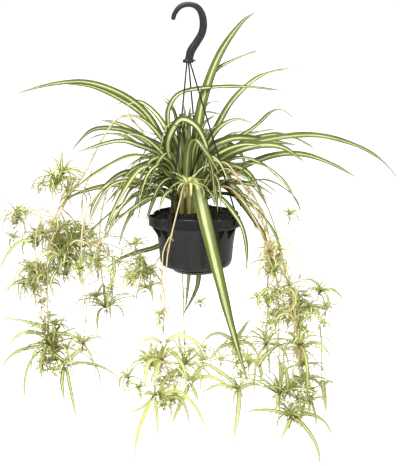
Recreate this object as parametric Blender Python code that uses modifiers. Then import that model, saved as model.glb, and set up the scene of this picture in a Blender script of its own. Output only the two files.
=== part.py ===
"""Spider plant in a hanging pot: pot, hanger, potting mix, crown, leaves, runners and plantlets.

Everything is in metres with +Z up. The origin is the seat of the hanging hook, the inside of the
top of its bend, so the whole plant hangs below it. +X runs to the right of the pot, and +Y to the
back. Leaves and runners start from the crown, which stands on the potting mix under the hook.
"""

from math import atan2, cos, pi, radians, sin
from typing import NamedTuple

import bmesh
import bpy
from mathutils import Vector

# Driving dimensions of the pot.
POT_AXIS_X = 0.013
RIM_RADIUS = 0.0745
RIM_TOP_Z = -0.352
BAND_HEIGHT = 0.0185
POT_DEPTH = 0.0925
FLOOR_RADIUS = 0.056
POT_WALL = 0.0018
POT_STEPS = 36
EAR_AZIMUTHS = (214, 334, 94)
EAR_STATIONS = (0, 11, 22, 28, 38, 49, 60, 71, 82, 92, 98, 109)
EAR_FLAT_ANGLE = 22
EAR_EDGE_ANGLE = 6
EAR_REACH = 0.014
EAR_DEPTH = 0.030
DRAIN_HOLES = 5
DRAIN_RADIUS = 0.004
DRAIN_CIRCLE = 0.040

# Driving dimensions of the hanger.
COLLAR_TOP_Z = -0.087
COLLAR_HEIGHT = 0.006
COLLAR_RADIUS = 0.0095
STRAND_RADIUS = 0.001
STRAND_CIRCLE = 0.004
STRAP_WIDTH = 0.008
STRAP_THICKNESS = 0.0015
STRAP_DROP = 0.034
STRAP_RISE = 0.007

# The plant.
CROWN_BASE_Z = -0.3477
CROWN_HEIGHT = 0.072
CROWN_RADIUS = 0.030
CROWN_STEPS = 27
CROWN_SHEATHS = 9
BLADE_THICKNESS = 0.0012
BLADE_SEGMENTS = 9
RUNNER_POINTS = 15
RUNNER_RADIUS = 0.0014
CORE_RADIUS = 0.0048

# The gap that touching pieces keep.
SEAT_GAP = 0.0003

GOLDEN_ANGLE = radians(137.5)
UP = Vector((0, 0, 1))


class Leaf(NamedTuple):
    """A long leaf: its azimuth in degrees from +X, its width and its (reach, height) points.

    The swing is how many degrees further round its tip lies than its base.
    """

    name: str
    azimuth: float
    width: float
    arc: tuple
    swing: float = 0


class Runner(NamedTuple):
    """A runner: the points it passes, from the crown to its tip."""

    name: str
    points: tuple
    thickness: float = 1


class Plantlet(NamedTuple):
    """A plantlet: the runner it grows on, how far along, its spread and its number of leaves."""

    name: str
    runner: str
    along: float
    spread: float
    leaves: int
    side: tuple = (0, 0, -1)


LEAVES = (
    Leaf("leaf_left_high", 175, 0.013, (
        (0.013, -0.304), (0.049, -0.218), (0.080, -0.172), (0.125, -0.142),
        (0.180, -0.126), (0.240, -0.131), (0.300, -0.147))),
    Leaf("leaf_back_left_high", 150, 0.013, (
        (0.013, -0.305), (0.052, -0.227), (0.094, -0.185), (0.140, -0.160),
        (0.200, -0.140), (0.268, -0.136))),
    Leaf("leaf_back_left_arch", 143, 0.015, (
        (0.015, -0.321), (0.052, -0.250), (0.100, -0.228), (0.150, -0.208), (0.205, -0.201))),
    Leaf("leaf_left_arch", 163, 0.014, (
        (0.015, -0.328), (0.055, -0.252), (0.095, -0.220), (0.135, -0.209),
        (0.180, -0.214), (0.219, -0.250))),
    Leaf("leaf_left_level", 184, 0.013, (
        (0.015, -0.322), (0.042, -0.257), (0.085, -0.234), (0.125, -0.226), (0.198, -0.246))),
    Leaf("leaf_left_long", 204, 0.016, (
        (0.015, -0.330), (0.042, -0.277), (0.075, -0.252), (0.115, -0.250),
        (0.165, -0.272), (0.215, -0.303), (0.240, -0.325))),
    Leaf("leaf_left_low", 178, 0.013, (
        (0.018, -0.339), (0.060, -0.313), (0.105, -0.304), (0.155, -0.308),
        (0.205, -0.325), (0.234, -0.352))),
    Leaf("leaf_front_left_broad", 226, 0.018, (
        (0.015, -0.332), (0.048, -0.282), (0.080, -0.264), (0.115, -0.266),
        (0.150, -0.297), (0.182, -0.339), (0.196, -0.374))),
    Leaf("leaf_front_left_low", 214, 0.013, (
        (0.018, -0.337), (0.065, -0.302), (0.115, -0.286), (0.155, -0.292),
        (0.182, -0.322), (0.196, -0.350))),
    Leaf("leaf_front_left_droop", 232, 0.013, (
        (0.018, -0.340), (0.065, -0.316), (0.108, -0.313), (0.150, -0.326),
        (0.190, -0.343), (0.218, -0.362))),
    Leaf("leaf_front_folded", 262, 0.018, (
        (0.015, -0.324), (0.040, -0.255), (0.062, -0.226), (0.095, -0.214),
        (0.128, -0.236), (0.142, -0.268))),
    Leaf("leaf_front_long", 281, 0.027, (
        (0.018, -0.335), (0.045, -0.302), (0.078, -0.318), (0.103, -0.350), (0.122, -0.382),
        (0.145, -0.440), (0.167, -0.524), (0.187, -0.608)), 21),
    Leaf("leaf_front_right_droop", 304, 0.014, (
        (0.018, -0.338), (0.060, -0.312), (0.095, -0.313), (0.130, -0.331),
        (0.158, -0.354), (0.171, -0.390), (0.170, -0.430))),
    Leaf("leaf_front_right_low", 326, 0.013, (
        (0.018, -0.339), (0.060, -0.316), (0.100, -0.317), (0.140, -0.336),
        (0.172, -0.368), (0.190, -0.410))),
    Leaf("leaf_right_front_arch", 322, 0.014, (
        (0.015, -0.328), (0.050, -0.276), (0.090, -0.261), (0.150, -0.256),
        (0.195, -0.276), (0.231, -0.320))),
    Leaf("leaf_right_broad", 349, 0.019, (
        (0.015, -0.322), (0.040, -0.275), (0.070, -0.249), (0.115, -0.232),
        (0.161, -0.233), (0.201, -0.257))),
    Leaf("leaf_right_arch", 357, 0.014, (
        (0.015, -0.326), (0.050, -0.290), (0.090, -0.272), (0.150, -0.250),
        (0.200, -0.249), (0.250, -0.266), (0.294, -0.290))),
    Leaf("leaf_right_long", 8, 0.014, (
        (0.013, -0.304), (0.055, -0.255), (0.100, -0.236), (0.160, -0.223), (0.225, -0.220),
        (0.290, -0.236), (0.340, -0.262), (0.376, -0.298))),
    Leaf("leaf_back_right_broad", 18, 0.017, (
        (0.013, -0.304), (0.036, -0.247), (0.066, -0.229), (0.105, -0.225), (0.200, -0.240))),
    Leaf("leaf_back_right_arch", 33, 0.013, (
        (0.015, -0.322), (0.070, -0.262), (0.120, -0.236), (0.181, -0.226),
        (0.232, -0.236), (0.287, -0.261))),
    Leaf("leaf_back_right_tall", 53, 0.014, (
        (0.013, -0.305), (0.050, -0.240), (0.080, -0.205), (0.113, -0.170),
        (0.160, -0.140), (0.215, -0.121), (0.318, -0.110))),
    Leaf("leaf_tall", 26, 0.016, (
        (0.008, -0.300), (0.018, -0.210), (0.030, -0.150), (0.060, -0.079),
        (0.100, -0.028), (0.128, -0.009))),
    Leaf("leaf_back_low_right", 60, 0.013, (
        (0.018, -0.337), (0.070, -0.304), (0.120, -0.285), (0.190, -0.292), (0.255, -0.335))),
    Leaf("leaf_back_arch", 80, 0.014, (
        (0.015, -0.324), (0.060, -0.255), (0.110, -0.226), (0.180, -0.228), (0.270, -0.290))),
    Leaf("leaf_back_hanging", 83, 0.013, (
        (0.018, -0.336), (0.060, -0.314), (0.090, -0.322), (0.112, -0.360),
        (0.118, -0.430), (0.116, -0.500), (0.120, -0.566)), 11),
    Leaf("leaf_back_left_long", 112, 0.014, (
        (0.015, -0.325), (0.060, -0.262), (0.115, -0.238), (0.185, -0.246), (0.280, -0.310))),
    Leaf("leaf_back_left_low", 128, 0.013, (
        (0.018, -0.338), (0.075, -0.305), (0.130, -0.290), (0.200, -0.312), (0.245, -0.350))),
)

RUNNERS = (
    Runner("runner_front", (
        (-0.006, -0.018, -0.326), (-0.018, -0.075, -0.316), (-0.026, -0.110, -0.346),
        (-0.033, -0.124, -0.395), (-0.037, -0.127, -0.450), (-0.041, -0.124, -0.520),
        (-0.045, -0.120, -0.578))),
    Runner("runner_front_right", (
        (0.014, -0.012, -0.334), (0.060, -0.060, -0.296), (0.092, -0.090, -0.318),
        (0.118, -0.105, -0.360), (0.135, -0.112, -0.410), (0.150, -0.112, -0.450),
        (0.172, -0.108, -0.500), (0.186, -0.104, -0.556)), 1.2),
    Runner("runner_right", (
        (0.018, -0.006, -0.333), (0.070, -0.048, -0.285), (0.102, -0.058, -0.305),
        (0.128, -0.058, -0.345), (0.140, -0.062, -0.400), (0.152, -0.066, -0.470),
        (0.156, -0.066, -0.560), (0.158, -0.064, -0.660)), 1.2),
    Runner("runner_right_far", (
        (0.018, 0.001, -0.334), (0.085, 0.012, -0.296), (0.130, 0.020, -0.330),
        (0.158, 0.026, -0.400), (0.176, 0.030, -0.480), (0.196, 0.034, -0.560),
        (0.206, 0.036, -0.640))),
    Runner("runner_back_right", (
        (0.014, 0.012, -0.336), (0.065, 0.080, -0.296), (0.112, 0.132, -0.330),
        (0.140, 0.160, -0.400), (0.150, 0.170, -0.500), (0.150, 0.170, -0.640))),
    Runner("runner_back", (
        (-0.004, 0.018, -0.336), (-0.020, 0.100, -0.300), (-0.022, 0.150, -0.340),
        (-0.018, 0.165, -0.420), (-0.012, 0.160, -0.540), (-0.010, 0.150, -0.675))),
    Runner("runner_back_left", (
        (-0.018, 0.013, -0.334), (-0.090, 0.070, -0.290), (-0.140, 0.120, -0.310),
        (-0.165, 0.145, -0.380), (-0.170, 0.150, -0.460), (-0.160, 0.150, -0.560))),
    Runner("runner_left_high", (
        (-0.020, 0.003, -0.330), (-0.055, 0.007, -0.262), (-0.080, 0.008, -0.210),
        (-0.115, 0.009, -0.185), (-0.150, 0.010, -0.225), (-0.178, 0.004, -0.280),
        (-0.207, -0.020, -0.322), (-0.232, -0.036, -0.375), (-0.243, -0.038, -0.440),
        (-0.245, -0.038, -0.540), (-0.240, -0.036, -0.580))),
    Runner("runner_left_low", (
        (-0.020, -0.008, -0.332), (-0.085, -0.042, -0.285), (-0.140, -0.085, -0.295),
        (-0.172, -0.095, -0.345), (-0.178, -0.096, -0.420), (-0.172, -0.092, -0.500),
        (-0.180, -0.088, -0.560))),
)

PLANTLETS = (
    Plantlet("plantlet_front", "runner_front", 1.0, 0.105, 9),
    Plantlet("plantlet_front_upper", "runner_front", 0.80, 0.050, 7, (-1, 0, 0)),
    Plantlet("plantlet_front_right", "runner_front_right", 1.0, 0.090, 9),
    Plantlet("plantlet_front_right_node", "runner_front_right", 0.66, 0.040, 7, (0.4, -1, 0)),
    Plantlet("plantlet_right", "runner_right", 1.0, 0.120, 9),
    Plantlet("plantlet_right_node", "runner_right", 0.72, 0.050, 7, (-1, -0.3, 0)),
    Plantlet("plantlet_right_far", "runner_right_far", 1.0, 0.075, 9),
    Plantlet("plantlet_back_right", "runner_back_right", 1.0, 0.100, 9),
    Plantlet("plantlet_back", "runner_back", 1.0, 0.115, 9),
    Plantlet("plantlet_back_left", "runner_back_left", 1.0, 0.110, 9),
    Plantlet("plantlet_left_bottom", "runner_left_high", 1.0, 0.120, 9),
    Plantlet("plantlet_left_mid", "runner_left_high", 0.80, 0.060, 7, (-1, -0.3, 0)),
    Plantlet("plantlet_left_upper", "runner_left_high", 0.56, 0.055, 7, (-0.6, -0.8, 0)),
    Plantlet("plantlet_left_low", "runner_left_low", 1.0, 0.085, 9),
    Plantlet("plantlet_left_low_node", "runner_left_low", 0.70, 0.055, 7, (-0.5, -1, 0)),
)


# Objects, materials and collections.


def clear_scene() -> None:
    """Removes every object of the scene."""
    for item in list(bpy.data.objects):
        bpy.data.objects.remove(item, do_unlink=True)


def new_collection(name: str) -> bpy.types.Collection:
    """Returns a new collection that is linked to the scene."""
    collection = bpy.data.collections.new(name)
    bpy.context.scene.collection.children.link(collection)
    return collection


def new_material(name: str, colour: tuple, roughness: float) -> bpy.types.Material:
    """Returns a Principled material that isn't metallic."""
    material = bpy.data.materials.new(name)
    material.use_nodes = True
    shader = material.node_tree.nodes["Principled BSDF"]
    shader.inputs["Base Color"].default_value = (*colour, 1)
    shader.inputs["Roughness"].default_value = roughness
    shader.inputs["Metallic"].default_value = 0
    return material


def new_object(name: str, data, collection, material=None) -> bpy.types.Object:
    """Returns a new object that shows the given mesh or curve."""
    item = bpy.data.objects.new(name, data)
    collection.objects.link(item)
    if material:
        data.materials.append(material)
    return item


def mesh_from(name: str, shape: bmesh.types.BMesh) -> bpy.types.Mesh:
    """Returns the mesh of a bmesh, smooth but for its sharp edges, and frees the bmesh."""
    mesh = bpy.data.meshes.new(name)
    shape.to_mesh(mesh)
    shape.free()
    mesh.shade_smooth()
    mesh.set_sharp_from_angle(angle=radians(40))
    return mesh


def made_mesh(item: bpy.types.Object) -> bpy.types.Object:
    """Replaces a curve object by a mesh object of the same name whose caps are welded."""
    depsgraph = bpy.context.evaluated_depsgraph_get()
    mesh = bpy.data.meshes.new_from_object(item.evaluated_get(depsgraph))
    shape = bmesh.new()
    shape.from_mesh(mesh)
    bmesh.ops.remove_doubles(shape, verts=shape.verts, dist=0.00001)
    shape.to_mesh(mesh)
    shape.free()
    name, place, collection = item.name, item.matrix_world.copy(), item.users_collection[0]
    bpy.data.objects.remove(item)
    made = bpy.data.objects.new(name, mesh)
    made.matrix_world = place
    collection.objects.link(made)
    return made


def combine(item: bpy.types.Object, other: bpy.types.Object, operation: str) -> None:
    """Adds a Boolean modifier, and keeps its operand out of the finished model."""
    other.hide_render = True
    other.display_type = "WIRE"
    modifier = item.modifiers.new(operation.lower(), "BOOLEAN")
    modifier.operation = operation
    modifier.object = other


# Curves through points.


def smooth_path(points, count: int) -> list:
    """Returns count points, evenly spaced along a Catmull-Rom curve through the given points."""
    ends = [2 * points[0] - points[1], *points, 2 * points[-1] - points[-2]]
    fine = []
    for a, b, c, d in zip(ends, ends[1:], ends[2:], ends[3:]):
        for step in range(12):
            t = step / 12
            fine.append(0.5 * (2 * b + (c - a) * t + (2 * a - 5 * b + 4 * c - d) * t ** 2
                               + (3 * b - a - 3 * c + d) * t ** 3))
    fine.append(points[-1])
    lengths = [0]
    for a, b in zip(fine, fine[1:]):
        lengths.append(lengths[-1] + (b - a).length)
    path, at = [], 0
    for step in range(count):
        wanted = lengths[-1] * step / (count - 1)
        while at < len(fine) - 2 and lengths[at + 1] < wanted:
            at += 1
        share = (wanted - lengths[at]) / (lengths[at + 1] - lengths[at])
        path.append(fine[at].lerp(fine[at + 1], share))
    return path


def tangent_at(path: list, index: int) -> Vector:
    """Returns the direction of a path at one of its points."""
    low, high = max(index - 1, 0), min(index + 1, len(path) - 1)
    return (path[high] - path[low]).normalized()


def tube(name: str, path: list, radii: list, depth: float, sides: int, collection):
    """Returns a curve object that is a round tube along a path, closed by caps."""
    curve = bpy.data.curves.new(name, "CURVE")
    curve.dimensions = "3D"
    curve.bevel_depth = depth
    curve.bevel_resolution = sides // 2 - 2
    curve.use_fill_caps = True
    spline = curve.splines.new("POLY")
    spline.points.add(len(path) - 1)
    for point, place, radius in zip(spline.points, path, radii):
        point.co = (*place, 1)
        point.radius = radius
    return new_object(name, curve, collection)


# The pot and what is in and under it.


def smoothstep(value: float) -> float:
    """Returns 0 below 0, 1 above 1 and a smooth ramp between."""
    value = min(max(value, 0), 1)
    return value * value * (3 - 2 * value)


def ear_reach(azimuth: float, height: float) -> float:
    """Returns how far an ear brings the pot's wall out at an azimuth in degrees and a height."""
    off = min(abs((azimuth - ear + 180) % 360 - 180) for ear in EAR_AZIMUTHS)
    across = smoothstep((EAR_FLAT_ANGLE + EAR_EDGE_ANGLE - off) / EAR_EDGE_ANGLE)
    return EAR_REACH * across * smoothstep(1 - (RIM_TOP_Z - height) / EAR_DEPTH)


def pot_outline() -> list:
    """Returns the pot's outer outline as (radius, height), from the rim to the middle of its floor."""
    band_foot = RIM_TOP_Z - BAND_HEIGHT
    floor = RIM_TOP_Z - POT_DEPTH
    return [
        (RIM_RADIUS, RIM_TOP_Z), (RIM_RADIUS - 0.0006, RIM_TOP_Z - 0.003),
        (RIM_RADIUS - 0.0006, band_foot + 0.003), (RIM_RADIUS, band_foot),
        (RIM_RADIUS - 0.0028, band_foot - 0.001), (RIM_RADIUS - 0.0055, band_foot - 0.015),
        (RIM_RADIUS - 0.0080, band_foot - 0.030), (RIM_RADIUS - 0.0100, band_foot - 0.050),
        (RIM_RADIUS - 0.0112, floor + 0.011), (FLOOR_RADIUS + 0.0045, floor + 0.003),
        (FLOOR_RADIUS, floor), (FLOOR_RADIUS / 2, floor), (0, floor),
    ]


def spun_surface(outline: list) -> bmesh.types.BMesh:
    """Returns the open surface that an outline sweeps round the Z axis."""
    shape = bmesh.new()
    verts = [shape.verts.new((radius, 0, height)) for radius, height in outline]
    edges = [shape.edges.new(pair) for pair in zip(verts, verts[1:])]
    bmesh.ops.spin(shape, geom=verts + edges, cent=(0, 0, 0), axis=(0, 0, 1), angle=2 * pi,
                   steps=POT_STEPS, use_merge=True, use_duplicate=False)
    bmesh.ops.remove_doubles(shape, verts=shape.verts, dist=0.00001)
    bmesh.ops.recalc_face_normals(shape, faces=shape.faces)
    return shape


def build_pot(collection, cutters, plastic) -> None:
    """Makes the pot: a thin wall with a banded rim, three flared ears and a drained floor."""
    shape = spun_surface(pot_outline())
    for vert in shape.verts:
        radius = vert.co.xy.length
        if radius > 0.001:
            station = round(atan2(vert.co.y, vert.co.x) / (2 * pi / POT_STEPS)) % POT_STEPS
            ear, place = divmod(station, len(EAR_STATIONS))
            azimuth = EAR_AZIMUTHS[0] + 120 * ear + EAR_STATIONS[place]
            radius += ear_reach(azimuth, vert.co.z) if radius > FLOOR_RADIUS else 0
            vert.co.xy = (radius * cos(radians(azimuth)), radius * sin(radians(azimuth)))
    downward = min(shape.faces, key=lambda face: face.calc_center_median().z)
    if downward.normal.z > 0:
        bmesh.ops.reverse_faces(shape, faces=shape.faces)
    pot = new_object("pot", mesh_from("pot", shape), collection, plastic)
    pot.location.x = POT_AXIS_X
    wall = pot.modifiers.new("wall", "SOLIDIFY")
    wall.thickness = POT_WALL
    wall.offset = -1

    drills = bmesh.new()
    for hole in range(DRAIN_HOLES):
        angle = 2 * pi * hole / DRAIN_HOLES
        made = bmesh.ops.create_cone(drills, cap_ends=True, segments=12, radius1=DRAIN_RADIUS,
                                     radius2=DRAIN_RADIUS, depth=4 * POT_WALL)
        place = Vector((DRAIN_CIRCLE * cos(angle), DRAIN_CIRCLE * sin(angle), RIM_TOP_Z - POT_DEPTH))
        bmesh.ops.translate(drills, verts=made["verts"], vec=place)
    drill = new_object("drain_drills", mesh_from("drain_drills", drills), cutters)
    drill.location.x = POT_AXIS_X
    combine(pot, drill, "DIFFERENCE")


def turned(name: str, outline: list, steps: int, collection, material) -> bpy.types.Object:
    """Returns a solid turned about the pot's axis from an outline that starts and ends on it."""
    mesh = bpy.data.meshes.new(name)
    verts = [(radius, 0, height) for radius, height in outline]
    mesh.from_pydata(verts, [(at, at + 1) for at in range(len(verts) - 1)], [])
    item = new_object(name, mesh, collection, material)
    item.location.x = POT_AXIS_X
    screw = item.modifiers.new("turn", "SCREW")
    screw.steps = steps
    screw.render_steps = steps
    screw.use_merge_vertices = True
    screw.merge_threshold = 0.0001
    screw.use_smooth_shade = True
    return item


def build_potting_mix(collection, soil) -> None:
    """Makes the potting mix: it fills the pot up to a low mound just under the rim."""
    inset = POT_WALL + 3 * SEAT_GAP
    wall = [(radius - inset, height) for radius, height in pot_outline()[4:10:2]]
    floor = RIM_TOP_Z - POT_DEPTH + POT_WALL + SEAT_GAP
    level = CROWN_BASE_Z - SEAT_GAP
    outline = [
        (0, level), (0.045, level), (0.060, level - 0.004), (wall[0][0], level - 0.009), *wall,
        (FLOOR_RADIUS, floor + 0.003), (FLOOR_RADIUS - 0.004, floor), (0, floor),
    ]
    turned("potting_mix", outline, POT_STEPS, collection, soil)


def build_drip_tray(collection, plastic) -> None:
    """Makes the drip tray: a shallow dish under the pot, carried at its middle."""
    top = RIM_TOP_Z - POT_DEPTH - SEAT_GAP
    outline = [
        (0, top), (0.008, top), (0.008, top - 0.008), (0.036, top - 0.008), (0.0415, top - 0.003),
        (0.0435, top - 0.003), (0.0440, top - 0.005), (0.038, top - 0.0105), (0, top - 0.0105),
    ]
    turned("drip_tray", outline, 28, collection, plastic)


# The hanger.


def build_hook(collection, cutters, plastic) -> None:
    """Makes the hook: a thick tube bent over, on a round collar that holds the strands."""
    centreline = [Vector((x, 0, z)) for x, z in (
        (-0.0260, -0.0217), (-0.0222, -0.0100), (-0.0130, 0.0008), (0.0010, 0.0045),
        (0.0145, 0.0005), (0.0228, -0.0110), (0.0257, -0.0280), (0.0228, -0.0440),
        (0.0140, -0.0590), (0.0050, -0.0730), (0.0010, -0.0880))]
    radii = (0.0037, 0.0041, 0.0044, 0.0045, 0.0053, 0.0062, 0.0065, 0.0065, 0.0067, 0.0072, 0.0070)
    path = smooth_path(centreline, 27)
    sizes = [value.x for value in smooth_path([Vector((r, 0, i)) for i, r in enumerate(radii)], 27)]
    tip = [path[0] - tangent_at(path, 0) * 0.0022]
    hook = made_mesh(tube("hanger_hook", tip + path, [0.0018, *sizes], 1, 10, collection))
    hook.data.materials.append(plastic)
    hook.data.shade_smooth()
    hook.data.set_sharp_from_angle(angle=radians(50))

    shape = bmesh.new()
    bmesh.ops.create_cone(shape, cap_ends=True, segments=24, radius1=COLLAR_RADIUS,
                          radius2=COLLAR_RADIUS - 0.001, depth=COLLAR_HEIGHT)
    bmesh.ops.translate(shape, verts=shape.verts,
                        vec=Vector((0, 0, COLLAR_TOP_Z - COLLAR_HEIGHT / 2)))
    collar = new_object("collar_body", mesh_from("collar_body", shape), cutters)
    combine(hook, collar, "UNION")


def rim_point(azimuth: float, out: float, height: float) -> Vector:
    """Returns the point at a height that stands a distance out from the pot's rim surface."""
    radius = RIM_RADIUS + ear_reach(azimuth, height) + out
    return Vector((POT_AXIS_X + radius * cos(radians(azimuth)), radius * sin(radians(azimuth)), height))


def build_strand(name: str, azimuth: float, bow: float, collection, cutters, plastic) -> None:
    """Makes one strand of the hanger, with the flat strap that hooks over the rim."""
    start_angle = radians(azimuth)
    start = Vector((STRAND_CIRCLE * cos(start_angle), STRAND_CIRCLE * sin(start_angle),
                    COLLAR_TOP_Z - COLLAR_HEIGHT - SEAT_GAP))
    out = SEAT_GAP + STRAP_THICKNESS / 2
    end = rim_point(azimuth, out, RIM_TOP_Z) + STRAP_RISE * UP / 2
    middle = start.lerp(end, 0.4) - Vector((cos(start_angle), sin(start_angle), 0)) * bow
    path = smooth_path([start, middle, end], 9)
    strand = made_mesh(tube(name, path, [1] * len(path), STRAND_RADIUS, 8, collection))
    strand.data.materials.append(plastic)
    strand.data.shade_smooth()
    strand.data.set_sharp_from_angle(angle=radians(50))

    # The strap's section across the rim: an outer leg, a bridge over the rim and a short inner leg.
    heights = [RIM_TOP_Z - STRAP_DROP * share for share in (1, 0.7, 0.4, 0.12, 0)]
    near = [(SEAT_GAP + ear_reach(azimuth, z) + (0.0005 if z < RIM_TOP_Z - 0.001 else 0), z)
            for z in heights]
    ear = ear_reach(azimuth, RIM_TOP_Z)
    top = RIM_TOP_Z + STRAP_RISE
    saddle = RIM_TOP_Z + 3 * SEAT_GAP
    inner = ear - 2 * POT_WALL - 4 * SEAT_GAP
    section = near + [
        (ear + SEAT_GAP, saddle), (inner, saddle), (inner, RIM_TOP_Z - 0.005),
        (inner - STRAP_THICKNESS, RIM_TOP_Z - 0.005), (inner - STRAP_THICKNESS, saddle + STRAP_THICKNESS),
        (ear + SEAT_GAP, top), (ear + SEAT_GAP + STRAP_THICKNESS, top),
    ]
    section += [(x + STRAP_THICKNESS, z) for x, z in reversed(near)]
    curve = bpy.data.curves.new(name + "_strap", "CURVE")
    curve.dimensions = "2D"
    curve.fill_mode = "BOTH"
    curve.extrude = STRAP_WIDTH / 2
    spline = curve.splines.new("POLY")
    spline.points.add(len(section) - 1)
    spline.use_cyclic_u = True
    for point, (x, z) in zip(spline.points, section):
        point.co = (x, z, 0, 1)
    strap = new_object(name + "_strap", curve, cutters)
    place = rim_point(azimuth, 0, RIM_TOP_Z) - ear * Vector((cos(start_angle), sin(start_angle), 0))
    strap.location = (place.x, place.y, 0)
    strap.rotation_euler = (pi / 2, 0, start_angle)
    bpy.context.view_layer.update()
    combine(strand, made_mesh(strap), "UNION")


# The plant.


def crown_shape(gap: float) -> bmesh.types.BMesh:
    """Returns the fluted stump of the crown, enlarged all round by a gap."""
    shape = bmesh.new()
    bmesh.ops.create_cone(shape, cap_ends=True, segments=CROWN_STEPS, radius1=1, radius2=1, depth=1)
    sides = [edge for edge in shape.edges if abs(edge.verts[0].co.z - edge.verts[1].co.z) > 0.5]
    bmesh.ops.subdivide_edges(shape, edges=sides, cuts=4, use_grid_fill=False)
    for vert in shape.verts:
        angle = atan2(vert.co.y, vert.co.x)
        share = vert.co.z + 0.5
        flute = 1 + 0.04 * sin(CROWN_SHEATHS * angle + 2 * share)
        radius = CROWN_RADIUS * (1 - 0.25 * share - 0.28 * share ** 8) * flute + gap
        height = CROWN_BASE_Z + CROWN_HEIGHT * share + (gap if share > 0.99 else 0)
        vert.co = (radius * cos(angle), radius * sin(angle), height)
    return shape


def blade_width(share: float) -> float:
    """Returns a blade's width along its length, as a share of its greatest width."""
    swell = 0.68 + 0.32 * sin(pi / 2 * min(share / 0.35, 1))
    return swell * (1 - share ** 2.6) ** 0.8 + 0.05


def leaf_path(leaf: Leaf, count: int) -> list:
    """Returns the leaf's midrib as points in space."""
    flat = smooth_path([Vector((reach, 0, height)) for reach, height in leaf.arc], count)
    path = []
    for index, point in enumerate(flat):
        angle = radians(leaf.azimuth + leaf.swing * (index / (count - 1)) ** 1.5)
        path.append(Vector((point.x * cos(angle), point.x * sin(angle), point.z)))
    return path


def build_leaf(leaf: Leaf, collection, clearance, material) -> None:
    """Makes a leaf: a channelled blade laid along its midrib and thickened to a thin solid."""
    shape = bmesh.new()
    bmesh.ops.create_grid(shape, x_segments=2, y_segments=BLADE_SEGMENTS, size=1)
    path = leaf_path(leaf, BLADE_SEGMENTS + 1)
    for vert in shape.verts:
        across = round(vert.co.x)
        index = round((vert.co.y + 1) / 2 * BLADE_SEGMENTS)
        share = index / BLADE_SEGMENTS
        tangent = tangent_at(path, index)
        angle = radians(leaf.azimuth + leaf.swing * share ** 1.5)
        side = Vector((-sin(angle), cos(angle), 0))
        side = (side - side.dot(tangent) * tangent).normalized()
        face = side.cross(tangent)
        half = leaf.width / 2 * blade_width(share)
        vert.co = path[index] + side * half * across + face * half * 0.3 * abs(across)
    bmesh.ops.recalc_face_normals(shape, faces=shape.faces)
    item = new_object(leaf.name, mesh_from(leaf.name, shape), collection, material)
    solid = item.modifiers.new("thickness", "SOLIDIFY")
    solid.thickness = BLADE_THICKNESS
    solid.offset = 0
    combine(item, clearance, "DIFFERENCE")


def runner_path(runner: Runner) -> list:
    """Returns the points of a runner's centreline."""
    return smooth_path([Vector(point) for point in runner.points], RUNNER_POINTS)


def build_runner(runner: Runner, collection, clearance, material) -> None:
    """Makes a runner, a thin round stem."""
    path = runner_path(runner)
    radii = [runner.thickness * (1.15 - 0.4 * at / len(path)) for at in range(len(path))]
    item = made_mesh(tube(runner.name, path, radii, RUNNER_RADIUS, 6, collection))
    item.data.materials.append(material)
    combine(item, clearance, "DIFFERENCE")


def leaflet_sections(plantlet: Plantlet, start: Vector, number: int) -> list:
    """Returns the three-cornered sections of one leaflet, from near the core to its tip."""
    direction = start.normalized()
    length = plantlet.spread * (0.75 + 0.25 * cos(3 * number))
    sections = []
    for share, width in ((0.30, 1.0), (0.65, 0.8), (1.0, 0.12)):
        place = start + direction * length * share - UP * length * 0.45 * share ** 2
        tangent = (direction - UP * 0.9 * share).normalized()
        side = tangent.cross(UP)
        side = (side if side.length > 0.1 else tangent.cross(Vector((0, 1, 0)))).normalized()
        lift = side.cross(tangent)
        half = (0.0028 + 0.012 * plantlet.spread) * width
        sections.append([place + side * half, place - side * half, place - lift * half * 0.5])
    return sections


def extrude_leaflet(shape: bmesh.types.BMesh, face, sections: list) -> None:
    """Draws one face of the core out along a leaflet's sections."""
    for section in sections:
        made = bmesh.ops.extrude_discrete_faces(shape, faces=[face])
        face = made["faces"][0]
        corners = list(face.verts)
        middle = sum((corner for corner in section), Vector()) / 3
        across = (section[1] - section[0]).cross(section[2] - section[0])
        ordered = section if across.dot(middle) > 0 else list(reversed(section))
        turns = [ordered[at:] + ordered[:at] for at in range(3)]
        best = min(turns, key=lambda turn: sum((vert.co - place).length
                                               for vert, place in zip(corners, turn)))
        for vert, place in zip(corners, best):
            vert.co = place


def build_plantlet(plantlet: Plantlet, runner: Runner, collection, material) -> None:
    """Makes a plantlet: a small round base with narrow leaves drawn out of its facets."""
    shape = bmesh.new()
    bmesh.ops.create_icosphere(shape, subdivisions=1, radius=CORE_RADIUS)
    shape.faces.ensure_lookup_table()
    seat = shape.faces[0].calc_center_median()
    path = runner_path(runner)
    index = round(plantlet.along * (len(path) - 1))
    tangent = tangent_at(path, index)
    if plantlet.along >= 1:
        side, reach = tangent, SEAT_GAP
    else:
        side = Vector(plantlet.side)
        side = (side - side.dot(tangent) * tangent).normalized()
        reach = RUNNER_RADIUS * runner.thickness * (1.15 - 0.4 * index / len(path)) + SEAT_GAP
    turn = seat.rotation_difference(-side).to_matrix()
    bmesh.ops.rotate(shape, verts=shape.verts, cent=(0, 0, 0), matrix=turn)
    centre = path[index] + side * (seat.length + reach)
    least = -0.4 if plantlet.along >= 1 else 0.15
    free = [face for face in shape.faces if face.normal.dot(side) > least]
    chosen = []
    for number in range(plantlet.leaves):
        angle = GOLDEN_ANGLE * number
        wanted = Vector((cos(angle), sin(angle), 0.2 - 0.8 * (number % 3) / 2))
        best = max((face for face in free if face not in chosen),
                   key=lambda face: face.normal.dot(wanted))
        chosen.append(best)
    for number, face in enumerate(chosen):
        start = face.calc_center_median().copy()
        extrude_leaflet(shape, face, leaflet_sections(plantlet, start, number))
    bmesh.ops.translate(shape, verts=shape.verts, vec=centre)
    new_object(plantlet.name, mesh_from(plantlet.name, shape), collection, material)


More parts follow.
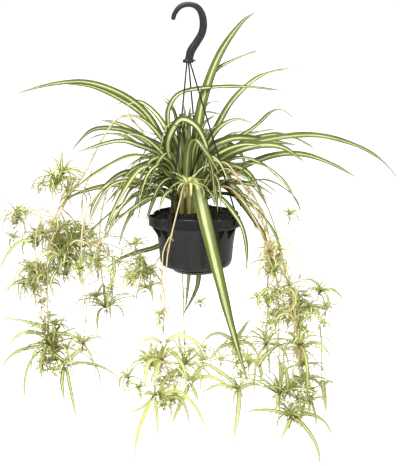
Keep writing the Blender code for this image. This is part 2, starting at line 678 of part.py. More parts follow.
def build_plant(collection, cutters) -> None:
    """Makes the crown and all that grows from it."""
    sheath = new_material("pale_sheath", (0.55, 0.55, 0.30), 0.55)
    green = new_material("striped_leaf", (0.30, 0.40, 0.12), 0.45)
    straw = new_material("straw_stem", (0.75, 0.65, 0.40), 0.5)
    pale = new_material("plantlet_leaf", (0.55, 0.62, 0.25), 0.5)
    new_object("crown", mesh_from("crown", crown_shape(0)), collection, sheath)
    clearance = new_object("crown_clearance", mesh_from("clearance", crown_shape(SEAT_GAP)), cutters)
    for leaf in LEAVES:
        build_leaf(leaf, collection, clearance, green)
    for runner in RUNNERS:
        build_runner(runner, collection, clearance, straw)
    runners = {runner.name: runner for runner in RUNNERS}
    for plantlet in PLANTLETS:
        build_plantlet(plantlet, runners[plantlet.runner], collection, pale)


def build_holder(collection, cutters) -> None:
    """Makes the pot, its filling and tray, and the hanger."""
    charcoal = new_material("charcoal_plastic", (0.055, 0.057, 0.060), 0.42)
    black = new_material("black_strand", (0.012, 0.012, 0.013), 0.4)
    soil = new_material("dark_mix", (0.03, 0.022, 0.016), 0.95)
    build_pot(collection, cutters, charcoal)
    build_potting_mix(collection, soil)
    build_drip_tray(collection, charcoal)
    build_hook(collection, cutters, charcoal)
    for name, azimuth, bow in (("hanger_strand_left", 232, 0.002), ("hanger_strand_right", 330, 0),
                               ("hanger_strand_back", 100, 0)):
        build_strand(name, azimuth, bow, collection, cutters, black)


def main() -> None:
    """Makes the whole object in an empty scene."""
    clear_scene()
    parts = new_collection("potted_spider_plant")
    cutters = new_collection("cutters")
    build_holder(parts, cutters)
    build_plant(parts, cutters)


main()
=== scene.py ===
"""Spider plant in a hanging pot: every surface of the finished plant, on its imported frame.

Everything is in metres with +Z up, in the frame's own place: the origin is the seat of the hanging
hook, +X runs to the right of the pot and +Y to the back. Leaves, stems and plantlets are all bent
from two plain forms, a flat blade and a round stalk, which are modelled once and then copied.
"""

import logging
from contextlib import contextmanager
from dataclasses import dataclass, field
from enum import Enum
from math import cos, pi, radians, sin
from typing import Callable, Iterator, NamedTuple, Sequence

import bpy
import numpy as np
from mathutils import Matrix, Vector


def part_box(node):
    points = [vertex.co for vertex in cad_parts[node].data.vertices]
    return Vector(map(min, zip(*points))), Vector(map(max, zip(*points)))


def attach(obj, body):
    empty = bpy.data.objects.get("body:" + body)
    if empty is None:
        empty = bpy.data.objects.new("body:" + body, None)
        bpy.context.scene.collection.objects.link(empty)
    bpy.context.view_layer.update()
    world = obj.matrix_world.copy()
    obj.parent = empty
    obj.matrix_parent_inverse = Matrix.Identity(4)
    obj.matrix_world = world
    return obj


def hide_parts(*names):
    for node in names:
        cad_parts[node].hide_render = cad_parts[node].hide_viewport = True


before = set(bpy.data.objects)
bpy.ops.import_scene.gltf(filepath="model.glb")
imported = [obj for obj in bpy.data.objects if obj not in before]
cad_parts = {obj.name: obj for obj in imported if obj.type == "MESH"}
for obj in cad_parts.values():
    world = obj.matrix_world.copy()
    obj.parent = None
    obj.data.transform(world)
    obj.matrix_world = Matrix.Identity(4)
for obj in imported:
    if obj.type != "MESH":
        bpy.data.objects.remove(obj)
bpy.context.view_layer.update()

log = logging.getLogger("spider_plant")

BODY = "root"
BAKE_MAP = "OFBake"
BAKE_MARGIN = 0.02
GOLDEN_ANGLE = radians(137.5)
UP = np.array((0.0, 0.0, 1.0))
FRONT = np.array((0.0, -1.0, 0.0))


# Tools shared by all the makers.


def deselect() -> None:
    """Leaves nothing selected, so that the next operator acts on its own piece only."""
    bpy.ops.object.select_all(action="DESELECT")


def choose(piece: bpy.types.Object) -> None:
    """Makes a piece the only selected one and the active one.

    Args:
        piece: The piece.
    """
    deselect()
    piece.select_set(True)
    bpy.context.view_layer.objects.active = piece


@contextmanager
def editing(piece: bpy.types.Object) -> Iterator[None]:
    """Opens a piece in edit mode, and closes it again.

    Args:
        piece: The piece.

    Yields:
        Nothing, while the piece is open.
    """
    choose(piece)
    bpy.ops.object.mode_set(mode="EDIT")
    yield
    bpy.ops.object.mode_set(mode="OBJECT")


def named(name: str) -> bpy.types.Object:
    """Names the piece that an operator has just added.

    Args:
        name: Its name.

    Returns:
        The piece.
    """
    piece = bpy.context.object
    piece.name = name
    piece.data.name = name
    return piece


def finish_with(piece: bpy.types.Object, kind: str, **settings) -> None:
    """Adds a modifier to a piece and applies it.

    Args:
        piece: The piece to change.
        kind: The modifier's type.
        settings: The modifier's own settings.
    """
    choose(piece)
    modifier = piece.modifiers.new(kind.lower(), kind)
    for name, value in settings.items():
        setattr(modifier, name, value)
    bpy.ops.object.modifier_apply(modifier=modifier.name)


def settle(piece: bpy.types.Object) -> None:
    """Puts a piece's place, turn and size into its mesh."""
    choose(piece)
    bpy.ops.object.transform_apply(location=True, rotation=True, scale=True)


def smooth(piece: bpy.types.Object, angle: float = 40) -> None:
    """Shades a piece smooth, but for edges that are sharper than an angle in degrees."""
    choose(piece)
    bpy.ops.object.shade_smooth_by_angle(angle=radians(angle))


def copied(piece: bpy.types.Object, name: str) -> bpy.types.Object:
    """Copies a piece, with a mesh of its own.

    Args:
        piece: The piece to copy.
        name: The copy's name.

    Returns:
        The copy.
    """
    copy = piece.copy()
    copy.data = piece.data.copy()
    copy.name = copy.data.name = name
    bpy.context.scene.collection.objects.link(copy)
    return copy


def joined(name: str, pieces: Sequence[bpy.types.Object]) -> bpy.types.Object:
    """Joins pieces into one.

    Args:
        name: The joined piece's name.
        pieces: The pieces, of which the first keeps its object.

    Returns:
        The joined piece.
    """
    deselect()
    for piece in pieces:
        piece.select_set(True)
    bpy.context.view_layer.objects.active = pieces[0]
    if len(pieces) > 1:
        bpy.ops.object.join()
    return named(name)


def places_of(piece: bpy.types.Object) -> np.ndarray:
    """Reads the places of a piece's vertices.

    Args:
        piece: The piece to read.

    Returns:
        Its places, one row for each vertex.
    """
    places = np.empty(len(piece.data.vertices) * 3, np.float32)
    piece.data.vertices.foreach_get("co", places)
    return places.reshape(-1, 3).astype(float)


def set_places(piece: bpy.types.Object, places: np.ndarray) -> None:
    """Moves a piece's vertices to new places."""
    piece.data.vertices.foreach_set("co", places.astype(np.float32).ravel())
    piece.data.update()


def note(piece: bpy.types.Object, name: str, values: np.ndarray | float, domain: str = "POINT") -> None:
    """Writes numbers on a piece's vertices or faces, for its finish to read.

    Args:
        piece: The piece to write on.
        name: The attribute's name.
        values: A number for each vertex or face, or one number for all.
        domain: POINT for vertices, FACE for faces.
    """
    mesh = piece.data
    size = len(mesh.vertices) if domain == "POINT" else len(mesh.polygons)
    attribute = mesh.attributes.get(name) or mesh.attributes.new(name, "FLOAT", domain)
    attribute.data.foreach_set("value", np.broadcast_to(values, size).astype(np.float32))


def ramp_up(value: np.ndarray | float) -> np.ndarray:
    """Returns 0 below 0, 1 above 1 and a smooth ramp between."""
    value = np.clip(value, 0, 1)
    return value * value * (3 - 2 * value)


def unit(rows: np.ndarray) -> np.ndarray:
    """Returns rows of vectors, each at length 1."""
    return rows / np.maximum(np.linalg.norm(rows, axis=-1, keepdims=True), 1e-9)


def share_bake_map(pieces: Sequence[bpy.types.Object]) -> None:
    """Gives each of some pieces that will be joined an upright strip of the bake map of its own.

    Args:
        pieces: The pieces, each with a bake map that it fills alone.
    """
    for number, piece in enumerate(pieces):
        layer = piece.data.uv_layers[BAKE_MAP]
        corners = np.empty(len(piece.data.loops) * 2, np.float32)
        layer.uv.foreach_get("vector", corners)
        corners[::2] = (number + np.clip(corners[::2], BAKE_MARGIN, 1 - BAKE_MARGIN)) / len(pieces)
        layer.uv.foreach_set("vector", corners)


class Course:
    """A smooth line through points in space, read by the share of its length."""

    def __init__(self, points: Sequence[Sequence[float]], steps: int = 12) -> None:
        """Draws the line.

        Args:
            points: The points that it passes.
            steps: How many short pieces it has between two of them.
        """
        points = np.array(points, float)
        ends = np.vstack([2 * points[0] - points[1], points, 2 * points[-1] - points[-2]])
        t = np.linspace(0, 1, steps, endpoint=False)[:, None]
        runs = [0.5 * (2 * b + (c - a) * t + (2 * a - 5 * b + 4 * c - d) * t ** 2
                       + (3 * b - a - 3 * c + d) * t ** 3)
                for a, b, c, d in zip(ends, ends[1:], ends[2:], ends[3:])]
        self.line = np.vstack([*runs, points[-1:]])
        gaps = np.linalg.norm(np.diff(self.line, axis=0), axis=1)
        self.reached = np.concatenate([[0], np.cumsum(gaps)])
        self.length = float(self.reached[-1])

    @classmethod
    def arching(cls, start: np.ndarray, azimuth: float, rise: float, fall: float, swirl: float,
                length: float) -> "Course":
        """Lays the line of a leaf that sets off upwards and arches over.

        Args:
            start: Its first point.
            azimuth: The way that it sets off, in radians from +X.
            rise: The slope that it sets off with, in radians.
            fall: How much less its slope is at the tip.
            swirl: How much further round its tip points.
            length: Its length.

        Returns:
            The line.
        """
        share = np.linspace(0, 1, 9)[:-1] + 1 / 16
        slope, way = rise - fall * share ** 1.3, azimuth + swirl * share
        steps = np.stack([np.cos(slope) * np.cos(way), np.cos(slope) * np.sin(way), np.sin(slope)], 1)
        return cls(np.vstack([start, start + np.cumsum(steps * length / 8, axis=0)]), 2)

    def at(self, share: np.ndarray | float) -> np.ndarray:
        """Returns the places at shares of the line's length."""
        wanted = np.asarray(share) * self.length
        return np.stack([np.interp(wanted, self.reached, axis) for axis in self.line.T], -1)

    def heading(self, share: np.ndarray | float) -> np.ndarray:
        """Returns the directions of the line at shares of its length."""
        share = np.asarray(share)
        return unit(self.at(np.minimum(share + 0.012, 1)) - self.at(np.maximum(share - 0.012, 0)))


# Finishes.

Value = float | tuple | bpy.types.NodeSocket


def shade(red: int, green: int, blue: int) -> tuple[float, float, float, float]:
    """Turns a screen colour into linear light.

    Args:
        red: Its red, from 0 to 255.
        green: Its green, from 0 to 255.
        blue: Its blue, from 0 to 255.

    Returns:
        Its linear channels and an alpha of 1.
    """
    levels = [value / 255 for value in (red, green, blue)]
    linear = [v / 12.92 if v <= 0.04045 else ((v + 0.055) / 1.055) ** 2.4 for v in levels]
    return (*linear, 1.0)


class Graph:
    """The node tree of one material, with a short call for each node that the finishes use."""

    def __init__(self, name: str) -> None:
        """Starts a material with a Principled shader.

        Args:
            name: The material's name.
        """
        self.material = bpy.data.materials.new(name)
        self.material.use_nodes = True
        self.tree = self.material.node_tree
        self.shader = self.tree.nodes["Principled BSDF"]

    def feed(self, socket: bpy.types.NodeSocket, value: Value) -> None:
        """Links a socket to another, or sets its value.

        Args:
            socket: The socket to fill.
            value: The socket that it reads, or the value that it holds.
        """
        if isinstance(value, bpy.types.NodeSocket):
            self.tree.links.new(value, socket)
        else:
            socket.default_value = value

    def node(self, kind: str, inputs: dict | None = None, **settings) -> bpy.types.Node:
        """Adds a node.

        Args:
            kind: The node's type, without the ShaderNode at its start.
            inputs: What goes into its sockets, by their name or number.
            settings: The node's own settings.

        Returns:
            The node.
        """
        made = self.tree.nodes.new("ShaderNode" + kind)
        for name, value in settings.items():
            setattr(made, name, value)
        for key, value in (inputs or {}).items():
            self.feed(made.inputs[key], value)
        return made

    def noted(self, name: str) -> bpy.types.NodeSocket:
        """Returns the number that a piece's vertices or faces hold under a name."""
        return self.node("Attribute", attribute_name=name).outputs["Fac"]

    def place(self) -> bpy.types.NodeSocket:
        """Returns the place on the piece, in metres."""
        return self.node("TexCoord").outputs["Object"]

    def point(self, x: Value, y: Value, z: Value) -> bpy.types.NodeSocket:
        """Returns three numbers as one vector."""
        return self.node("CombineXYZ", {0: x, 1: y, 2: z}).outputs[0]

    def sum(self, operation: str, a: Value, b: Value = 0.0) -> bpy.types.NodeSocket:
        """Returns the result of a Math node."""
        return self.node("Math", {0: a, 1: b}, operation=operation).outputs[0]

    def times(self, a: Value, b: Value) -> bpy.types.NodeSocket:
        """Returns a times b."""
        return self.sum("MULTIPLY", a, b)

    def plus(self, a: Value, b: Value) -> bpy.types.NodeSocket:
        """Returns a plus b."""
        return self.sum("ADD", a, b)

    def between(self, value: Value, low: float, high: float) -> bpy.types.NodeSocket:
        """Ramps a value smoothly from 0 to 1.

        Args:
            value: The value.
            low: Where the ramp starts.
            high: Where it ends.

        Returns:
            The share.
        """
        made = self.node("MapRange", {"Value": value, "From Min": low, "From Max": high},
                         interpolation_type="SMOOTHSTEP", clamp=True)
        return made.outputs["Result"]

    def blend(self, share: Value, a: Value, b: Value, blend_type: str = "MIX") -> bpy.types.NodeSocket:
        """Turns one colour into another.

        Args:
            share: How far it is turned, from 0 to 1.
            a: The first colour.
            b: The second colour.
            blend_type: The Mix node's way of doing it.

        Returns:
            The colour between them.
        """
        made = self.node("Mix", data_type="RGBA", blend_type=blend_type)
        self.feed(made.inputs["Factor"], share)
        self.feed(made.inputs[6], a)
        self.feed(made.inputs[7], b)
        return made.outputs[2]

    def noise(self, place: Value, scale: float, detail: float = 3,
              roughness: float = 0.5) -> bpy.types.NodeSocket:
        """Returns a soft random number at a place."""
        inputs = {"Vector": place, "Scale": scale, "Detail": detail, "Roughness": roughness}
        return self.node("TexNoise", inputs).outputs["Fac"]

    def cells(self, place: Value, scale: float) -> bpy.types.NodeSocket:
        """Returns the distance from the middle of the nearest random cell."""
        return self.node("TexVoronoi", {"Vector": place, "Scale": scale}).outputs["Distance"]

    def relief(self, height: Value, strength: float, depth: float) -> None:
        """Raises and lowers the shader's surface by a height, up to a depth in metres."""
        bump = self.node("Bump", {"Height": height, "Strength": strength, "Distance": depth})
        self.feed(self.shader.inputs["Normal"], bump.outputs["Normal"])

    def surface(self, **values: Value) -> bpy.types.Material:
        """Fills the shader's sockets.

        Args:
            **values: What each socket gets, by its name with _ for a space.

        Returns:
            The finished material.
        """
        for name, value in values.items():
            self.feed(self.shader.inputs[name.replace("_", " ")], value)
        return self.material


@dataclass(frozen=True)
class LeafFinish:
    """Striped leaf tissue: a pale stripe along the middle, streaked green beside it."""

    name: str
    slot: str
    stripe: tuple = shade(238, 240, 184)
    stripe_edge: tuple = shade(160, 170, 88)
    green: tuple = shade(104, 122, 46)
    deep_green: tuple = shade(54, 70, 22)
    old_tip: tuple = shade(150, 118, 66)
    under: tuple = shade(150, 160, 112)
    young: tuple = shade(160, 170, 88)
    young_share: float = 0.30
    under_share: float = 0.35
    roughness: float = 0.40
    tone_step: float = 37.0
    patch_scale: float = 26.0
    patch_tints: tuple = ((0.80, 0.82, 0.78, 1), (1.12, 1.12, 1.06, 1))
    veins: float = 58.0
    vein_depth: float = 0.0003

    def make(self) -> bpy.types.Material:
        """Mixes the material, which reads the blade's own notes.

        Returns:
            The material.
        """
        g = Graph(self.name)
        across, reach, share = g.noted("across"), g.noted("reach"), g.noted("share")
        tone, stripe, under = g.noted("tone"), g.noted("stripe"), g.noted("under")
        seed = g.times(tone, self.tone_step)
        streak = g.noise(g.point(g.times(across, 3.2), g.times(reach, 9.0), seed), 2.2, 3, 0.6)
        fine = g.noise(g.point(g.times(across, 15.0), g.times(reach, 14.0), seed), 1.6, 2, 0.6)
        off = g.sum("ABSOLUTE", across)
        wander = g.times(g.sum("SUBTRACT", streak, 0.5), 0.30)
        edge = g.sum("SUBTRACT", g.plus(off, wander), stripe)
        green = g.blend(g.between(off, 0.35, 0.95), self.green, self.deep_green)
        green = g.blend(g.times(g.between(tone, 0.3, 1.0), self.young_share), green, self.young)
        green = g.blend(g.times(g.between(fine, 0.52, 0.72), 0.38), green, self.stripe_edge)
        pale = g.blend(g.times(g.between(fine, 0.48, 0.70), 0.50), self.stripe, self.stripe_edge)
        colour = g.blend(g.between(edge, -0.08, 0.0), pale, self.stripe_edge)
        colour = g.blend(g.between(edge, -0.01, 0.12), colour, green)
        colour = g.blend(g.times(under, self.under_share), colour, self.under)
        base_pale = g.times(g.between(g.sum("SUBTRACT", 1.0, share), 0.88, 1.0), 0.35)
        colour = g.blend(base_pale, colour, self.stripe_edge)
        dry = g.times(g.between(share, 0.955, 0.995), g.between(streak, 0.42, 0.6))
        colour = g.blend(dry, colour, self.old_tip)
        patches = g.blend(g.noise(g.place(), self.patch_scale, 2), *self.patch_tints)
        colour = g.blend(1.0, colour, patches, "MULTIPLY")
        veins = g.sum("SINE", g.times(across, self.veins))
        g.relief(g.plus(g.times(veins, 0.35), fine), 0.35, self.vein_depth)
        gloss = g.plus(g.times(fine, 0.18), self.roughness - 0.09)
        return g.surface(Base_Color=colour, Roughness=gloss, Subsurface_Weight=0.08,
                         Subsurface_Scale=0.002, IOR=1.42)


@dataclass(frozen=True)
class StemFinish:
    """Smooth straw or papery tissue, paler and darker along its length."""

    name: str
    slot: str = "straw_stem"
    young: tuple = shade(248, 240, 196)
    old: tuple = shade(230, 206, 150)
    scar: tuple = shade(168, 128, 76)
    drift_scale: float = 22.0
    spot_scale: float = 160.0
    fibre_depth: float = 0.0003

    def make(self) -> bpy.types.Material:
        """Mixes the material, which reads the stalk's own notes.

        Returns:
            The material.
        """
        g = Graph(self.name)
        share, tone = g.noted("share"), g.noted("tone")
        drift = g.noise(g.place(), self.drift_scale, 3)
        age = g.plus(g.times(share, 0.35), g.times(drift, 0.5))
        colour = g.blend(g.between(g.plus(age, g.times(tone, 0.5)), 0.35, 0.95), self.old, self.young)
        spots = g.between(g.noise(g.place(), self.spot_scale, 3), 0.60, 0.74)
        colour = g.blend(g.times(spots, 0.45), colour, self.scar)
        fibres = g.noise(g.point(g.times(g.noted("across"), 9.0), g.times(share, 30.0), tone), 2.0, 3)
        g.relief(fibres, 0.3, self.fibre_depth)
        gloss = g.plus(g.times(fibres, 0.2), 0.42)
        return g.surface(Base_Color=colour, Roughness=gloss, Subsurface_Weight=0.1, Subsurface_Scale=0.002)


@dataclass(frozen=True)
class PlasticFinish:
    """Moulded plastic with a faint grain, dusty where it is rough."""

    name: str
    slot: str
    colour: tuple
    dusty: tuple
    roughness: float
    cloud_scale: float = 38.0
    grain_scale: float = 1500.0
    scuff_scale: float = 210.0
    grain_depth: float = 0.0002

    def make(self) -> bpy.types.Material:
        """Mixes the material.

        Returns:
            The material.
        """
        g = Graph(self.name)
        cloud = g.noise(g.place(), self.cloud_scale, 4, 0.6)
        grain = g.noise(g.place(), self.grain_scale, 2)
        scuffs = g.between(g.noise(g.place(), self.scuff_scale, 5, 0.7), 0.56, 0.72)
        colour = g.blend(g.between(cloud, 0.35, 0.8), self.colour, self.dusty)
        colour = g.blend(g.times(scuffs, 0.12), colour, self.dusty)
        gloss = g.plus(g.times(cloud, 0.22), self.roughness - 0.11)
        g.relief(grain, 0.18, self.grain_depth)
        return g.surface(Base_Color=colour, Roughness=gloss)


@dataclass(frozen=True)
class MixFinish:
    """Dark, moist potting mix, or one of the coarse things in it."""

    name: str
    dark: tuple
    light: tuple
    grain: float = 420.0
    roughness: float = 0.9
    slot: str = "potting_mix"
    grain_depth: float = 0.0012

    def make(self) -> bpy.types.Material:
        """Mixes the material.

        Returns:
            The material.
        """
        g = Graph(self.name)
        lumps = g.noise(g.place(), self.grain, 6, 0.7)
        specks = g.between(g.cells(g.place(), self.grain * 1.6), 0.05, 0.28)
        colour = g.blend(g.between(lumps, 0.38, 0.68), self.dark, self.light)
        colour = g.blend(g.times(g.sum("SUBTRACT", 1.0, specks), 0.35), colour, self.light)
        g.relief(g.plus(lumps, g.times(specks, 0.4)), 0.7, self.grain_depth)
        gloss = g.plus(g.times(lumps, 0.2), self.roughness - 0.1)
        return g.surface(Base_Color=colour, Roughness=gloss)


class Finish(Enum):
    """The finishes of the plant and its holder."""

    LEAF = LeafFinish("striped_leaf_finish", "striped_leaf")
    PLANTLET = LeafFinish(
        "plantlet_leaf_finish", "plantlet_leaf", shade(255, 254, 200), shade(228, 232, 140),
        green=shade(150, 170, 74), deep_green=shade(98, 120, 46), under=shade(208, 212, 146),
        young=shade(242, 244, 140), young_share=0.9, under_share=0.3, roughness=0.46)
    # The leaf bases' own olive and cream, darkened all over as a painted shade for the crown, which sits deep
    # under the leaves.
    SHEATH = LeafFinish(
        "pale_sheath_finish", "pale_sheath", shade(196, 192, 118), shade(136, 134, 66),
        green=shade(96, 100, 42), deep_green=shade(48, 46, 22), old_tip=shade(150, 112, 62),
        under=shade(176, 168, 104), under_share=0.4, roughness=0.5)
    STRAW = StemFinish("straw_stem_finish")
    PAPER = StemFinish("dry_bract_finish", young=shade(226, 206, 150), old=shade(192, 158, 104),
                       scar=shade(130, 92, 54))
    ROOT = StemFinish("root_stub_finish", young=shade(226, 208, 150), old=shade(176, 138, 84),
                      scar=shade(110, 76, 44))
    CHARCOAL = PlasticFinish("charcoal_plastic_finish", "charcoal_plastic", shade(25, 26, 25),
                             shade(37, 37, 35), 0.29)
    HOOK = PlasticFinish("hook_plastic_finish", "charcoal_plastic", shade(40, 40, 40),
                         shade(54, 54, 52), 0.36)
    BLACK = PlasticFinish("black_strand_finish", "black_strand", shade(26, 26, 27), shade(44, 44, 43), 0.42)
    MIX = MixFinish("potting_mix_finish", shade(10, 8, 7), shade(36, 30, 24))
    BARK = MixFinish("bark_chip_finish", shade(34, 25, 18), shade(74, 56, 40), 900.0, 0.85)
    GRIT = MixFinish("pale_grit_finish", shade(120, 114, 102), shade(170, 164, 150), 700.0, 0.8)

    def material(self) -> bpy.types.Material:
        """Returns the finish's material, made on first use."""
        return bpy.data.materials.get(self.value.name) or self.value.make()


def ready(piece: bpy.types.Object, finish: Finish, *nodes: str) -> None:
    """Dresses a piece, fixes it to the plant's body and reports it.

    Args:
        piece: The piece, with its shape complete.
        finish: Its finish.
        nodes: The frame's nodes that it stands for.
    """
    piece.data.materials.clear()
    piece.data.materials.append(finish.material())
    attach(piece, BODY)
    if nodes:
        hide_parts(*nodes)
    log.info("%s: %d faces, for %s", piece.name, len(piece.data.polygons), ", ".join(nodes) or "nothing")


def gathered(name: str, pieces: Sequence[bpy.types.Object], finish: Finish, *nodes: str) -> None:
    """Joins blades or stalks into one piece, and makes it ready.

    Args:
        name: The joined piece's name.
        pieces: The blades or stalks.
        finish: Its finish.
        nodes: The frame's nodes that it stands for.
    """
    share_bake_map(pieces)
    ready(joined(name, pieces), finish, *nodes)


# The two plain forms.


@dataclass(frozen=True)
class Cut:
    """How a blade is cut: its width, how deeply it is folded, its thickness and how it tapers."""

    width: float
    fold: float = 0.30
    thickness: float = 0.0007
    narrow_base: float = 0.62
    taper: float = 2.6
    ripple: float = 0.0
    twist: float = 0.0

    def half_width(self, share: np.ndarray) -> np.ndarray:
        """Returns half the blade's width at shares of its length."""
        swell = self.narrow_base + (1 - self.narrow_base) * np.sin(pi / 2 * np.minimum(share / 0.35, 1))
        return self.width / 2 * (swell * (1 - share ** self.taper) ** 0.8 + 0.012)


@dataclass
class BladeForm:
    """A flat blade, 2 across and 1 long, closed and sharp at its edges, that others are bent from."""

    name: str
    lengthwise: int
    crosswise: int
    piece: bpy.types.Object = field(init=False)

    def __post_init__(self) -> None:
        """Models the blade: a grid, thickened, with its edges pinched shut."""
        deselect()
        bpy.ops.mesh.primitive_grid_add(x_subdivisions=self.crosswise, y_subdivisions=self.lengthwise,
                                        size=2)
        self.piece = named(self.name)
        with editing(self.piece):
            bpy.ops.mesh.select_all(action="SELECT")
            bpy.ops.transform.translate(value=(0, 1, 0))
            bpy.ops.transform.resize(value=(1, 0.5, 1), center_override=(0, 0, 0))
        finish_with(self.piece, "SOLIDIFY", thickness=2, offset=0)
        places = places_of(self.piece)
        rim = (np.abs(places[:, 0]) > 0.999) | (places[:, 1] < 0.001) | (places[:, 1] > 0.999)
        places[rim, 2] = 0
        set_places(self.piece, places)
        with editing(self.piece):
            bpy.ops.mesh.select_all(action="SELECT")
            bpy.ops.mesh.remove_doubles(threshold=0.0001)
        smooth(self.piece, 60)
        self.draw_bake_map()

    def draw_bake_map(self) -> None:
        """Lays the upper side on the left half of the bake map and the under side on the right."""
        mesh = self.piece.data
        while mesh.uv_layers:
            mesh.uv_layers.remove(mesh.uv_layers[0])
        layer = mesh.uv_layers.new(name=BAKE_MAP)
        places = places_of(self.piece)
        corners = np.empty(len(mesh.loops), np.int32)
        mesh.loops.foreach_get("vertex_index", corners)
        heights = np.array([face.center.z for face in mesh.polygons])
        sizes = np.array([face.loop_total for face in mesh.polygons])
        upper = np.repeat(heights > 0, sizes)
        x, y = places[corners, 0], places[corners, 1]
        u = np.where(upper, 0.25 + 0.24 * x, 0.75 - 0.24 * x)
        layer.uv.foreach_set("vector", np.stack([u, 0.01 + 0.98 * y], 1).astype(np.float32).ravel())
        note(self.piece, "under", (heights < 0).astype(float), "FACE")

    def bent(self, name: str, course: Course, cut: Cut,
             facing: Callable[[np.ndarray, np.ndarray], np.ndarray], tone: float = 0.5,
             stripe: float = 0.42) -> bpy.types.Object:
        """Bends a copy of the blade along a course.

        Args:
            name: The copy's name.
            course: The midrib's line.
            cut: The blade's sizes.
            facing: Gives where the upper side looks, from the shares and headings along the course.
            tone: A number from 0 to 1 that sets this blade's colour and streaks apart.
            stripe: The share of the half width that the pale stripe takes.

        Returns:
            The bent copy.
        """
        piece = copied(self.piece, name)
        x, share, z = places_of(piece).T
        heading = course.heading(share)
        face = facing(share, heading)
        face = unit(face - (face * heading).sum(1, keepdims=True) * heading)
        side = np.cross(heading, face)
        roll = (radians(cut.twist) * share ** 1.5)[:, None]
        face, side = face * np.cos(roll) + side * np.sin(roll), side * np.cos(roll) - face * np.sin(roll)
        half = cut.half_width(share)
        waves = cut.ripple * np.sin(share * course.length * 95 + 40 * tone + 1.3 * np.sign(x)) * x ** 2
        lift = half * cut.fold * (1 - 0.45 * share) * np.abs(x) ** 1.4 + waves
        body = z * cut.thickness / 2 * (1 - 0.6 * x ** 2) * (1 - 0.5 * share)
        set_places(piece, course.at(share) + side * (half * x)[:, None] + face * (lift + body)[:, None])
        for key, values in (("across", x), ("share", share), ("reach", share * course.length),
                            ("tone", tone), ("stripe", stripe)):
            note(piece, key, values)
        return piece


@dataclass
class StalkForm:
    """A round stalk of radius 1 and length 1, that stems and cords are bent from."""

    name: str
    sides: int
    lengthwise: int
    piece: bpy.types.Object = field(init=False)

    def __post_init__(self) -> None:
        """Models the stalk: a capped cylinder, cut into even rings."""
        deselect()
        bpy.ops.mesh.primitive_cylinder_add(vertices=self.sides, radius=1, depth=1, end_fill_type="TRIFAN",
                                            location=(0, 0, 0.5))
        self.piece = named(self.name)
        settle(self.piece)
        with editing(self.piece):
            bpy.ops.mesh.select_mode(type="EDGE")
            bpy.ops.mesh.select_all(action="DESELECT")
        places = places_of(self.piece)
        for edge in self.piece.data.edges:
            a, b = (places[at] for at in edge.vertices)
            edge.select = bool(abs(a[2] - b[2]) > 0.5)
        with editing(self.piece):
            bpy.ops.mesh.subdivide(number_cuts=self.lengthwise - 1)
        smooth(self.piece, 60)
        self.piece.data.uv_layers[0].name = BAKE_MAP

    def bent(self, name: str, course: Course, radius: Callable[[np.ndarray], np.ndarray],
             tone: float = 0.5) -> bpy.types.Object:
        """Bends a copy of the stalk along a course.

        Args:
            name: The copy's name.
            course: The stalk's centreline.
            radius: Gives the radii from the shares along the course.
            tone: A number from 0 to 1 that sets this stalk's colour apart.

        Returns:
            The bent copy.
        """
        piece = copied(self.piece, name)
        x, y, share = places_of(piece).T
        stations = np.linspace(0, 1, self.lengthwise + 1)
        headings = course.heading(stations)
        start = np.cross(headings[0], UP if abs(headings[0][2]) < 0.9 else FRONT)
        sides = [unit(start)]
        for heading in headings[1:]:
            sides.append(unit(sides[-1] - (sides[-1] @ heading) * heading))
        station = np.rint(share * self.lengthwise).astype(int)
        side, heading = np.array(sides)[station], headings[station]
        other = np.cross(heading, side)
        size = radius(share)[:, None]
        set_places(piece, course.at(share) + size * (side * x[:, None] + other * y[:, None]))
        for key, values in (("across", np.arctan2(y, x) / pi), ("share", share), ("tone", tone)):
            note(piece, key, values)
        return piece


# What grows. The rows that stand for solids repeat the solids' own sizes, but for a few that bend,
# turn or spread a little differently. All rows are typed in millimetres from the hook's seat, and
# in degrees, and in_metres turns the lengths into metres.

LENGTHS = {"width", "arc", "points", "spread", "centre", "radii", "near", "far"}
MILLIMETRES = 1000


class Leaf(NamedTuple):
    """A long leaf: its azimuth from +X, its width and its (reach, height) points.

    The swing is how much further round its tip lies than its base, the base how wide its foot is as a
    share of its width, and the lean how far its upper side turns to the light.
    """

    name: str
    azimuth: float
    width: float
    arc: tuple
    swing: float = 0
    base: float = 0.62
    lean: float | None = None


class Runner(NamedTuple):
    """A runner: the points that it passes, its thickness and its tone, from 0, tan, to 1, cream."""

    name: str
    points: tuple
    thickness: float = 1
    tone: float = 0.7


class Plantlet(NamedTuple):
    """A plantlet: its runner, how far along that it grows, its spread, leaves, side and how yellow it is."""

    name: str
    runner: str
    along: float
    spread: float
    leaves: int
    side: tuple = (0, 0, -1)
    pale: float = 0.4


class Tuft(NamedTuple):
    """A plantlet with no solid of its own: the middle of its core, its spread, leaves and paleness."""

    name: str
    centre: tuple
    spread: float
    leaves: int
    pale: float = 0.4


class Cluster(NamedTuple):
    """A group of small tufts, spread through an oval space. Pale runs from 0, deep green, to 1, yellow."""

    name: str
    centre: tuple
    radii: tuple
    count: int
    pale: float = 0.4


class FreeLeaf(NamedTuple):
    """A leaf drawn by its own points: (x, y, height), or (x, height) from its near depth to its far one."""

    width: float
    near: float
    far: float
    points: tuple
    base: float = 0.62
    pale: float = 0.5


def metres(length: float | tuple) -> float | tuple:
    """Returns a length, or every length in a tuple, in metres."""
    return tuple(map(metres, length)) if isinstance(length, tuple) else length / MILLIMETRES


def in_metres(*rows: NamedTuple) -> tuple:
    """Turns the lengths of rows into metres.

    Args:
        rows: The rows, in millimetres.

    Returns:
        The rows, in metres.
    """
    return tuple(row._replace(**{field_name: metres(value) for field_name, value in row._asdict().items()
                                 if field_name in LENGTHS}) for row in rows)


def leaflets(pale: float, *rows: tuple) -> tuple[FreeLeaf, ...]:
    """Returns a group's long leaflets, which share one paleness."""
    return in_metres(*(FreeLeaf(*row, pale=pale) for row in rows))


